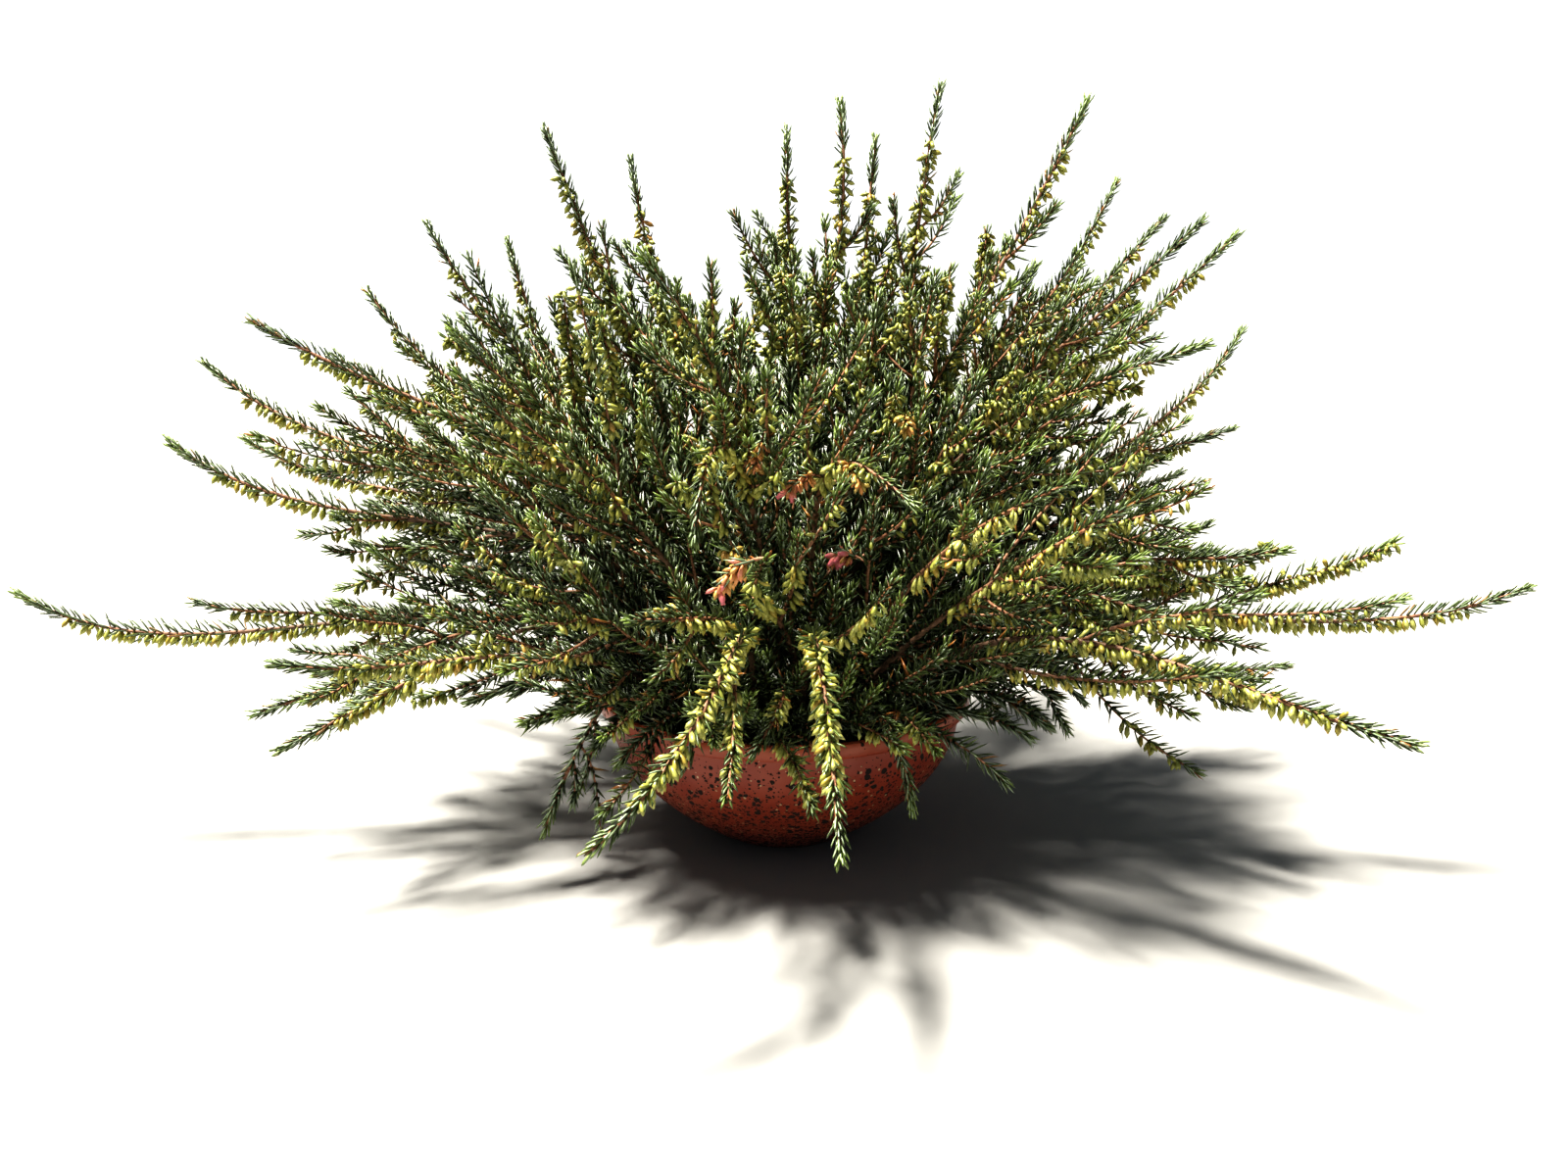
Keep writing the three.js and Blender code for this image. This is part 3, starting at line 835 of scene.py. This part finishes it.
leafing = {
    "start": {"stem": 30, "shoot": 7, "twig": 4, "rim": 6},  # the bare foot of each kind of shoot
    # between whorls, on the old part and at the tip
    "spacing": {"stem": (2.8, 1.35), "shoot": (2.9, 1.5), "twig": (3.0, 1.8), "rim": (2.3, 1.3)},
    "endGap": 1.2,
    "tipStretch": {"stem": 60, "shoot": 46, "twig": 24, "rim": 18},  # where the leaves spread and lengthen
    "opening": 0.8,
    "perWhorl": 4,
    "length": (7.5, 4.4),
    "lengthSpread": (0.82, 1.1),
    "width": (0.76, 1.0),
    "deepWidth": 1.8,
    # painted shade: the share of their tone that the leaves deep inside keep, which paints them darker
    "deepPaintedShade": 0.4,
    "offAxis": 0.35,
    "angle": (55, 24),
    "angleSpread": 7,
    "turnSpread": 0.14,
    "lift": 0.2,
    "arch": (0.1, 1.3),
    "footFades": (3, 0.3),  # how steeply, and from where, the bare foot turns leafy
    "lostAtFoot": 0.45,
    "lost": 0.06,
    "lostUnderBuds": 0.45,
    "withered": 0.035,
    "witheredTone": (0.5, 1),
    "freshTips": 0.3,  # of the shoots, which have bright young tips
    "freshStretch": 13,
    "otherStretch": 0.35,  # of it, on the other shoots
}

budding = {
    "seed": 9,
    "stretch": {
        "stem": (0.24, 0.93), "shoot": (0.2, 0.9), "twig": (0.3, 0.92), "rim": (0.5, 0.96),
        "raceme": (0.35, 1.0),
    },
    "endGap": {"stem": 20, "shoot": 13, "twig": 7, "rim": 4, "raceme": 0},
    "spacing": {"stem": 2.5, "shoot": 2.7, "twig": 3.0, "rim": 2.4, "raceme": 1.9},
    "spacingSpread": 0.6,
    "perWhorl": 5,
    "chance": {"stem": 0.84, "shoot": 0.68, "twig": 0.52, "rim": 0.6, "raceme": 0.95},
    "uprightLoss": 0.35,
    "twigsWithBuds": 0.62,
    "racemes": 0.16,
    "highest": 0.3,  # how far up round the shoot the buds sit
    "allRound": 0.9,  # how much farther on racemes and on stems that hang bare of twigs
    "droopRound": 1.4,
    "aim": {"out": 0.62, "ahead": 0.22, "down": 0.75},
    "aheadSpread": (0.3, 1.7),
    "downSpread": (0.5, 1.3),
    "aimSpread": 0.14,
    "offAxis": 0.5,
    "size": (0.74, 1.0),
    "youngLoss": 0.25,
    "youngStretch": 40,
    "greenStretch": 60,
    "ropeSize": 1.04,
    "arch": 0.3,
    "blushSpread": (0.4, 1.15),
    "strayBlush": 0.03,
    "strayTone": (0.1, 0.4),
    "opensAt": 0.86,
}

# The part of the bush that lies inside, in the dark: simpler leaves, painted darker there as painted shade,
# and no buds
depths = {"middle": (0, 34, 70), "size": (160, 114, 126)}


def isDeep(points):
    return (((points - depths["middle"]) / depths["size"]) ** 2).sum(1) < 1


def blending(share, low, high):
    return low + (high - low) * share


def whorlDistances(path):
    distances = []
    kind = path["kind"]
    old, young = leafing["spacing"][kind]
    distance = leafing["start"][kind]
    while distance < path["length"] - leafing["endGap"]:
        distances.append(distance)
        opened = min(1, (path["length"] - distance) / leafing["tipStretch"][kind])
        distance += blending(opened, young, old)
    return np.array(distances)


def spotsAround(path, distances, perWhorl, chance):
    place, tangent, side, across = framesAt(path, distances)
    start = np.arange(len(distances)) * math.pi / perWhorl + chance.uniform(0, 2 * math.pi)
    turn = start[:, None] + np.arange(perWhorl) * 2 * math.pi / perWhorl
    turn = (turn + chance.normal(0, leafing["turnSpread"], turn.shape)).reshape(-1, 1)
    whorl = np.repeat(np.arange(len(distances)), perWhorl)
    out = side[whorl] * np.cos(turn) + across[whorl] * np.sin(turn)
    return place[whorl], tangent[whorl], out, distances[whorl]


def budStyle(path):
    return "raceme" if path.get("raceme") else path["kind"]


def budStretch(path, distance):
    length = path["length"]
    low, high = budding["stretch"][budStyle(path)]
    end = min(high * length, length - budding["endGap"][budStyle(path)])
    return (distance > low * length) & (distance < end)


def leavesAlong(forms, path, shade, chance):
    length = path["length"]
    kind = path["kind"]
    distances = whorlDistances(path)
    if len(distances) < 3:
        return []
    place, tangent, out, distance = spotsAround(path, distances, leafing["perWhorl"], chance)
    count = len(place)
    left = length - distance
    opened = np.clip(left / leafing["tipStretch"][kind], 0, 1) ** leafing["opening"]
    angle = blending(opened, *reversed(leafing["angle"]))
    angle = np.radians(angle + chance.normal(0, leafing["angleSpread"], count))[:, None]
    aim = normalised(tangent * np.cos(angle) + out * np.sin(angle) + up * leafing["lift"] * opened[:, None])
    face = normalised(tangent - aim * (tangent * aim).sum(1)[:, None])
    size = blending(opened, *reversed(leafing["length"])) * chance.uniform(*leafing["lengthSpread"], count)

    steepness, start = leafing["footFades"]
    foot = np.clip(steepness * distance / length - start, 0, 1)
    lost = blending(foot, leafing["lostAtFoot"], leafing["lost"])
    if path["budded"]:
        lost += leafing["lostUnderBuds"] * (budStretch(path, distance) & (out[:, 2] < budding["highest"]))
    kept = chance.uniform(size=count) > lost
    fresh = 1 if chance.uniform() < leafing["freshTips"] else leafing["otherStretch"]
    age = np.clip(left / (leafing["freshStretch"] * fresh), 0, 1)
    withered = chance.uniform(size=count) < leafing["withered"] * (2 - foot)
    withered = withered * chance.uniform(*leafing["witheredTone"], count)
    deep = isDeep(place)
    wide = chance.uniform(*leafing["width"], count) * np.where(deep, leafing["deepWidth"], 1)
    # painted shade: the leaves deep inside take a darker tone
    tone = (shade + chance.uniform(size=count)) / 2 * np.where(deep, leafing["deepPaintedShade"], 1)
    arch = chance.uniform(*leafing["arch"], count)
    near = forms["leaf"] if kind == "stem" and path["points"][-1, 1] < 0 else forms["plainLeaf"]
    choices = ((near, kept & ~deep), (forms["needle"], kept & deep))
    values = (place + out * leafing["offAxis"], np.cross(face, aim), face, aim, wide, size, arch)
    return copiesOf(choices, values, 0, {"tone": tone, "age": age, "blush": withered})


def budsAlong(forms, path, chance):
    style = budStyle(path)
    distances = np.arange(leafing["start"][path["kind"]], path["length"], budding["spacing"][style])
    spread = budding["spacingSpread"]
    distances = distances + chance.uniform(-spread, spread, len(distances))
    distances = distances[budStretch(path, distances)]
    if not len(distances):
        return []
    place, tangent, out, distance = spotsAround(path, distances, budding["perWhorl"], chance)
    around = np.clip(-tangent[:, 2], 0, 1) * budding["droopRound"]
    if style == "raceme" or path.get("rope"):
        around = budding["allRound"]
    likely = budding["chance"][style] * (1 - budding["uprightLoss"] * np.clip(tangent[:, 2], 0, 1))
    some = (out[:, 2] < budding["highest"] + around) & (chance.uniform(size=len(place)) < likely)
    some &= ~isDeep(place) | ("blush" in path)
    place, tangent, out, distance = place[some], tangent[some], out[some], distance[some]
    count = len(place)
    if not count:
        return []
    aim = out * budding["aim"]["out"]
    aim += tangent * budding["aim"]["ahead"] * chance.uniform(*budding["aheadSpread"], (count, 1))
    aim -= up * budding["aim"]["down"] * chance.uniform(*budding["downSpread"], (count, 1))
    aim = normalised(aim + chance.normal(0, budding["aimSpread"], (count, 3)))
    face = normalised(np.cross(aim, tangent + out * 0.1))
    blush = np.clip(path.get("blush", 0) * chance.uniform(*budding["blushSpread"], count), 0, 1)
    stray = chance.uniform(size=count) < budding["strayBlush"]
    blush = np.maximum(blush, stray * chance.uniform(*budding["strayTone"], count))
    opened = blush > budding["opensAt"]
    left = path["length"] - distance
    young = np.clip(1 - left / budding["youngStretch"], 0, 1)
    size = chance.uniform(*budding["size"], count) * (1 - budding["youngLoss"] * young)
    if path.get("rope"):
        size *= budding["ropeSize"]
    tone = chance.uniform(size=count)
    age = np.clip(left / budding["greenStretch"], 0, 1)
    arch = chance.uniform(-budding["arch"], budding["arch"], count)
    choices = ((forms["bud"], ~opened), (forms["bloom"], opened))
    values = (place + out * budding["offAxis"], np.cross(face, aim), face, aim, size, size, arch)
    return copiesOf(choices, values, 2, {"tone": tone, "age": age, "blush": blush})


def chooseBuds(sprays):
    chance = np.random.default_rng(budding["seed"])
    for spray in sprays:
        for path in spray:
            path["budded"] = path["kind"] != "twig" or chance.uniform() < budding["twigsWithBuds"]
            if path["kind"] == "twig" and chance.uniform() < budding["racemes"]:
                path["raceme"] = path["budded"] = True


# Finishes

def colour(red, green, blue):
    shares = (red / 255, green / 255, blue / 255)
    linear = (c / 12.92 if c <= 0.04045 else ((c + 0.055) / 1.055) ** 2.4 for c in shares)
    return (*linear, 1)


def mixed(tree, factor, a, b, blend="MIX"):
    inputs = {0: factor, 6: a, 7: b}
    return put(tree, "ShaderNodeMix", inputs, data_type="RGBA", blend_type=blend).outputs[2]


def maths(tree, operation, a, b=0.0):
    return put(tree, "ShaderNodeMath", {0: a, 1: b}, operation=operation).outputs[0]


def tinted(tree, body, look, name, value):
    return mixed(tree, ranged(tree, value, *look[name + "Tint"]), body, look[name])


def mark(tree, name):
    return put(tree, "ShaderNodeAttribute", attribute_name=name).outputs["Fac"]


def ranged(tree, value, low, high, newLow=0.0, newHigh=1.0):
    inputs = {0: value, 1: low, 2: high, 3: newLow, 4: newHigh}
    return put(tree, "ShaderNodeMapRange", inputs).outputs[0]


def freckleGroup():
    # Patches in object space, as a mask and as a height
    group = bpy.data.node_groups.new("freckles", "ShaderNodeTree")
    for name in ("Scale", "Low", "High"):
        group.interface.new_socket(name, in_out="INPUT", socket_type="NodeSocketFloat")
    for name in ("Mask", "Height"):
        group.interface.new_socket(name, in_out="OUTPUT", socket_type="NodeSocketFloat")
    given = put(group, "NodeGroupInput").outputs
    where = put(group, "ShaderNodeTexCoord").outputs["Object"]
    noise = {"Vector": where, "Scale": given["Scale"], "Detail": 4.0, "Roughness": 0.62}
    height = put(group, "ShaderNodeTexNoise", noise).outputs[0]
    mask = ranged(group, height, given["Low"], given["High"])
    put(group, "NodeGroupOutput", {"Mask": mask, "Height": height})
    return group


def freckles(tree, group, scale, low, high):
    return put(tree, "ShaderNodeGroup", {"Scale": scale, "Low": low, "High": high}, node_tree=group).outputs


def newMaterial(name, look):
    material = bpy.data.materials.new(name)
    material.use_nodes = True
    surface = material.node_tree.nodes["Principled BSDF"]
    surface.inputs["Roughness"].default_value = look["roughness"]
    return material, material.node_tree, surface


def finished(tree, surface, body, height, bump):
    strength, depth = bump  # depth in mm
    inputs = {"Height": height, "Strength": strength, "Distance": depth * mm}
    tree.links.new(put(tree, "ShaderNodeBump", inputs).outputs[0], surface.inputs["Normal"])
    tree.links.new(body, surface.inputs["Base Color"])


# Patches and flakes: their scale, and the noise where they start and where they are whole. A tint's numbers
# are the range of a mark or of a place over which it comes, and how much of it shows at both ends.
leafLook = {
    "dark": colour(26, 41, 31),
    "light": colour(88, 102, 62),
    "fresh": colour(130, 150, 78),
    "groove": colour(168, 184, 158),
    "withered": colour(150, 98, 50),
    "roughness": 0.32,
    "patches": (260.0, 0.4, 0.65),
    "freshTint": (0.0, 1.0, 0.0, 0.35),
    "grooveTint": (0.2, 0.1, 0.0, 0.7),
    "bump": (0.25, 0.15),
}


def leafMaterial(group):
    look = leafLook
    material, tree, surface = newMaterial("leafSkin", look)
    body = mixed(tree, mark(tree, "tone"), look["dark"], look["light"])
    patches = freckles(tree, group, *look["patches"])
    body = tinted(tree, body, look, "fresh", patches["Mask"])
    body = mixed(tree, mark(tree, "age"), look["fresh"], body)
    body = mixed(tree, mark(tree, "blush"), body, look["withered"])
    place = put(tree, "ShaderNodeUVMap", uv_map="UVMap").outputs[0]
    across = put(tree, "ShaderNodeSeparateXYZ", {0: place}).outputs[0]
    offset = maths(tree, "ABSOLUTE", maths(tree, "SUBTRACT", across, 0.5))
    body = tinted(tree, body, look, "groove", offset)
    finished(tree, surface, body, patches["Height"], look["bump"])
    return material


barkLook = {
    "young": colour(134, 88, 64),
    "light": colour(176, 136, 106),
    "old": colour(118, 94, 76),
    "flakeShade": (0.55, 0.5, 0.48, 1),
    "roughness": 0.6,
    "patches": (900.0, 0.4, 0.62),
    "flakes": (420.0, 0.5, 0.6),
    "bump": (0.6, 0.4),
}


def barkMaterial(group):
    look = barkLook
    material, tree, surface = newMaterial("thinBark", look)
    patches = freckles(tree, group, *look["patches"])
    body = mixed(tree, patches["Mask"], look["young"], look["light"])
    body = mixed(tree, mark(tree, "age"), body, look["old"])
    darker = mixed(tree, 1.0, body, look["flakeShade"], "MULTIPLY")
    body = mixed(tree, freckles(tree, group, *look["flakes"])["Mask"], body, darker)
    finished(tree, surface, body, patches["Height"], look["bump"])
    return material


budLook = {
    "base": colour(101, 114, 52),
    "young": colour(101, 114, 52),
    "seam": colour(101, 114, 52),
    "tip": colour(173, 173, 87),
    "pale": colour(196, 193, 122),
    "amber": colour(184, 132, 62),
    "orange": colour(206, 150, 92),
    "pink": colour(214, 124, 132),
    "roughness": 0.38,
    "tipTint": (0.05, 0.75),
    "paleTint": (0.3, 1.0, 0.0, 0.7),
    "amberTint": (0.0, 0.24, 0.52, 0.0),
    "youngTint": (0.1, 0.7, 0.45, 0.0),
    "sepals": 4.0,
    "seamTint": (0.72, 1.0, 0.0, 0.4),
    "orangeTint": (0.05, 0.5),
    "pinkTint": (0.5, 0.85),
    "pinkEnd": (0.05, 0.7, 0.3, 1.0),
    "patches": (700.0, 0.4, 0.6),
    "bump": (0.3, 0.2),
}


def budMaterial(group):
    look = budLook
    material, tree, surface = newMaterial("budSkin", look)
    tone, age, blush = (mark(tree, name) for name in ("tone", "age", "blush"))
    place = put(tree, "ShaderNodeUVMap", uv_map="UVMap").outputs[0]
    around, along = put(tree, "ShaderNodeSeparateXYZ", {0: place}).outputs[:2]
    body = tinted(tree, look["base"], look, "tip", along)
    body = tinted(tree, body, look, "pale", tone)
    body = tinted(tree, body, look, "amber", tone)
    body = tinted(tree, body, look, "young", age)
    seams = maths(tree, "PINGPONG", maths(tree, "MULTIPLY", around, look["sepals"]), 1.0)
    body = tinted(tree, body, look, "seam", seams)
    body = tinted(tree, body, look, "orange", blush)
    pink, ends = ranged(tree, blush, *look["pinkTint"]), ranged(tree, along, *look["pinkEnd"])
    body = mixed(tree, maths(tree, "MULTIPLY", pink, ends), body, look["pink"])
    patches = freckles(tree, group, *look["patches"])
    finished(tree, surface, body, patches["Height"], look["bump"])
    return material


plasticLook = {
    "body": colour(136, 57, 38),
    "worn": colour(168, 88, 56),
    "splash": colour(38, 27, 20),
    "grain": colour(186, 160, 126),
    "roughness": 0.38,
    "splashRoughness": 0.9,
    "clouds": (45.0, 0.35, 0.7),
    "wornTint": (0.0, 1.0, 0.0, 0.35),
    "rimHighlightShares": (0.0, 0.75),  # painted highlight: how much of the worn colour the rim takes, from its foot to its top
    "splashScales": (1150.0, 720.0, 470.0, 330.0),
    "splashDensity": (1.0, 0.12),  # at the foot and under the rim
    "splashSize": (0.15, 0.5),
    "splashEdge": 0.06,
    "grainScale": 880.0,
    "grainDensity": (0.16, 0.02),
    "bump": (0.5, 0.3),
}


def splashes(tree, where, density, scale):
    # round specks, one in some of the cells
    cells = put(tree, "ShaderNodeTexVoronoi", {"Vector": where, "Scale": scale}).outputs
    chances = put(tree, "ShaderNodeSeparateColor", {0: cells["Color"]}).outputs
    size = ranged(tree, chances[0], 0.0, 1.0, *plasticLook["splashSize"])
    inside = maths(tree, "SUBTRACT", size, cells["Distance"])
    inside = ranged(tree, inside, 0.0, plasticLook["splashEdge"])
    return maths(tree, "MULTIPLY", inside, maths(tree, "LESS_THAN", chances[1], density))


def plasticMaterial(group):
    look = plasticLook
    material, tree, surface = newMaterial("bowlPlastic", look)
    where = put(tree, "ShaderNodeTexCoord").outputs["Object"]
    height = put(tree, "ShaderNodeSeparateXYZ", {0: where}).outputs[2]
    rimTop = bowl["height"] * mm
    rimBottom = (bowl["height"] - bowl["rimDepth"]) * mm
    clouds = freckles(tree, group, *look["clouds"])["Mask"]
    body = tinted(tree, look["body"], look, "worn", clouds)
    # painted highlight: the rim is painted paler towards its top, in the worn colour
    rim = ranged(tree, height, rimBottom, rimTop - 2 * mm, *look["rimHighlightShares"])
    body = mixed(tree, rim, body, look["worn"])
    density = ranged(tree, height, 0.0, rimBottom, *look["splashDensity"])
    splash = 0.0
    for scale in look["splashScales"]:
        splash = maths(tree, "MAXIMUM", splash, splashes(tree, where, density, scale))
    body = mixed(tree, splash, body, look["splash"])
    density = ranged(tree, height, 0.0, rimTop, *look["grainDensity"])
    body = mixed(tree, splashes(tree, where, density, look["grainScale"]), body, look["grain"])
    rough = ranged(tree, splash, 0.0, 1.0, look["roughness"], look["splashRoughness"])
    tree.links.new(rough, surface.inputs["Roughness"])
    finished(tree, surface, body, splash, look["bump"])
    return material


soilLook = {
    "dark": colour(34, 25, 20),
    "light": colour(78, 60, 46),
    "roughness": 0.95,
    "patches": (520.0, 0.38, 0.68),
    "bump": (0.9, 1.0),
}


def soilMaterial(group):
    material, tree, surface = newMaterial("pottingSoil", soilLook)
    patches = freckles(tree, group, *soilLook["patches"])
    body = mixed(tree, patches["Mask"], soilLook["dark"], soilLook["light"])
    finished(tree, surface, body, patches["Height"], soilLook["bump"])
    return material


# Pieces

def settle(piece, node=None):
    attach(piece, "root")
    if node:
        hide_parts(node)


def joined(parts, key):
    return np.concatenate([part[key] for part in parts])


def writePiece(name, parts, materials, node=None):
    mesh = bpy.data.meshes.new(name)
    co = joined(parts, "co") * mm
    offsets = np.cumsum([0] + [len(part["co"]) for part in parts[:-1]])
    loops = np.concatenate([part["loops"] + offset for part, offset in zip(parts, offsets)])
    sizes = joined(parts, "sizes")
    worn = np.concatenate([np.full(len(part["sizes"]), part["material"]) for part in parts])
    starts = np.concatenate([[0], np.cumsum(sizes)[:-1]])
    mesh.vertices.add(len(co))
    mesh.loops.add(len(loops))
    mesh.polygons.add(len(sizes))
    mesh.vertices.foreach_set("co", co.astype(np.float32).ravel())
    mesh.loops.foreach_set("vertex_index", loops.astype(np.int32))
    for key, values in (("loop_start", starts), ("loop_total", sizes), ("material_index", worn)):
        mesh.polygons.foreach_set(key, values.astype(np.int32))
    mesh.polygons.foreach_set("use_smooth", np.ones(len(sizes), bool))
    uv = mesh.uv_layers.new(name="UVMap")
    uv.data.foreach_set("uv", joined(parts, "uv").astype(np.float32).ravel())
    marks = [part["marks"] for part in parts]
    for key in marks[0]:
        values = joined(marks, key).astype(np.float32)
        mesh.attributes.new(key, "FLOAT", "POINT").data.foreach_set("value", values)
    mesh.update(calc_edges=True)
    mesh.validate()
    for material in materials:
        mesh.materials.append(material)
    piece = bpy.data.objects.new(name, mesh)
    bpy.context.scene.collection.objects.link(piece)
    settle(piece, node)
    return int((sizes - 2).sum())


def finishPiece(piece, material, angle=35):
    bpy.ops.object.select_all(action="DESELECT")
    piece.select_set(True)
    bpy.context.view_layer.objects.active = piece
    piece.scale = (mm, mm, mm)
    bpy.ops.object.transform_apply(location=False, rotation=False, scale=True)
    bpy.ops.object.shade_smooth_by_angle(angle=math.radians(angle))
    piece.data.materials.clear()
    piece.data.materials.append(material)


shell = {
    "sides": 96,
    "outerRings": 20,
    "innerRings": 16,
    "ringSpacing": 1.3,  # above 1, so that the rings crowd towards the foot
    # the rolled rim's depths below the top, and radii
    "lip": ((5.8, 74.3), (4.8, 75), (1.6, 75), (0.5, 74.6), (0, 73.8), (0.1, 72.7), (1, 71.6)),
    "drainSides": 20,
    "drillLength": 12,
}


def makeBowl(material):
    bandBottom = bowl["height"] - bowl["rimDepth"]
    thick = bowl["wallThickness"]
    outer = np.linspace(0, 1, shell["outerRings"]) ** shell["ringSpacing"] * bandBottom
    inner = np.linspace(1, 0, shell["innerRings"]) ** shell["ringSpacing"] * (bandBottom - thick) + thick
    rings = [(z, wallRadius(z)) for z in outer]
    rings += [(bowl["height"] - depth, radius) for depth, radius in shell["lip"]]
    rings += [(z, wallRadius(z) - thick) for z in inner]
    piece = drawOut("bowl_shell", shell["sides"], [(z, radius, radius) for z, radius in rings])
    for i in range(bowl["drainCount"]):
        turn = (i + 0.5) * 2 * math.pi / bowl["drainCount"]
        place = (bowl["drainCircle"] * math.cos(turn), bowl["drainCircle"] * math.sin(turn), 0)
        size = {"vertices": shell["drainSides"], "radius": bowl["drainRadius"], "depth": shell["drillLength"]}
        bpy.ops.object.select_all(action="DESELECT")
        bpy.ops.mesh.primitive_cylinder_add(location=place, **size)
        drill = bpy.context.object
        bpy.context.view_layer.objects.active = piece
        cut = piece.modifiers.new("drain", "BOOLEAN")
        cut.operation = "DIFFERENCE"
        cut.object = drill
        bpy.ops.object.modifier_apply(modifier="drain")
        bpy.data.objects.remove(drill)
    finishPiece(piece, material)
    settle(piece, "bowl")


fill = {
    "seed": 5,
    "sides": 72,
    "sideRings": 8,
    "topStep": 2.2,
    "lumpWaves": (0.31, 0.27),
    "lumpHeight": 0.8,
    "roughness": (-0.5, 0.4),
    "crumbCount": 620,
    "crumbRadius": 66,
    "crumbRise": 0.3,
    "crumbSize": (0.5, 1.9),
    "crumbFlatness": 0.8,
}


def randomAxes(chance, count):
    x = normalised(chance.normal(size=(count, 3)))
    y = normalised(np.cross(x, chance.normal(size=(count, 3))))
    return x, y, np.cross(x, y)


def makeSoil(material):
    chance = np.random.default_rng(fill["seed"])
    thick, gap = bowl["wallThickness"], soil["gap"]
    heights = np.linspace(thick + gap, soil["top"] - 1, fill["sideRings"])
    side = [(z, wallRadius(z) - thick - 2 * gap) for z in heights]
    top = [(soil["top"], radius) for radius in np.arange(side[-1][1] - 1, 2, -fill["topStep"])]
    piece = drawOut("soil_fill", fill["sides"], [(z, radius, radius) for z, radius in side + top])
    for v in piece.data.vertices:
        if v.co.z > soil["top"] - 0.5:
            lump = math.sin(v.co.x * fill["lumpWaves"][0] + 1) * math.cos(v.co.y * fill["lumpWaves"][1])
            v.co.z += fill["lumpHeight"] * lump + chance.uniform(*fill["roughness"])
    finishPiece(piece, material)
    settle(piece, "soil")
    bpy.ops.object.select_all(action="DESELECT")
    bpy.ops.mesh.primitive_ico_sphere_add(subdivisions=1, radius=1)
    crumb = readForm(bpy.context.object)
    count = fill["crumbCount"]
    radius = fill["crumbRadius"] * np.sqrt(chance.uniform(size=count))
    turn = chance.uniform(0, 2 * math.pi, count)
    height = np.full(count, soil["top"] + fill["crumbRise"])
    place = np.stack([radius * np.cos(turn), radius * np.sin(turn), height], 1)
    x, y, z = randomAxes(chance, count)
    size = chance.uniform(*fill["crumbSize"], count)
    tone = chance.uniform(size=count)
    crumbs = copies(crumb, place, x, y, z, size, size * fill["crumbFlatness"], 0, 0, tone=tone)
    writePiece("soil_crumbs", [crumbs], [material])


def makeSprays(sprays, low, forms, materials):
    total = 0
    for number, spray in enumerate(sprays + [low], 1):
        chance = np.random.default_rng(1000 + number)
        parts = []
        for path in spray:
            parts.append(barkAlong(forms[path["kind"]], path, chance))
            parts += leavesAlong(forms, path, chance.uniform(), chance)
            if path["budded"]:
                parts += budsAlong(forms, path, chance)
        if spray is low:
            total += writePiece("low_shoots", parts, materials)
        else:
            name = f"spray_{number:02d}"
            total += writePiece(name + "_fine", parts, materials, name)
    return total


setCamera()
setLight()
setStage()
print("camera, light and stage are set")

sprays = growStems()
growForks(sprays)
cloud, grown = growTwigs(sprays)
low = growShortShoots(rimShoots, rimHandles, cloud) + growShortShoots(lowShoots, lowHandles, cloud)
chooseBuds(sprays)
growBlooms(sprays)
print(f"growth: {sum(map(len, sprays))} shoots, {grown} of them twigs, and {len(low)} low shoots")

forms = makeForms()
group = freckleGroup()
print("forms are modelled")
skins = [leafMaterial(group), barkMaterial(group), budMaterial(group)]
faces = makeSprays(sprays, low, forms, skins)
print(f"sprays: {faces} triangles")
makeBowl(plasticMaterial(group))
makeSoil(soilMaterial(group))
print("bowl and soil are made")
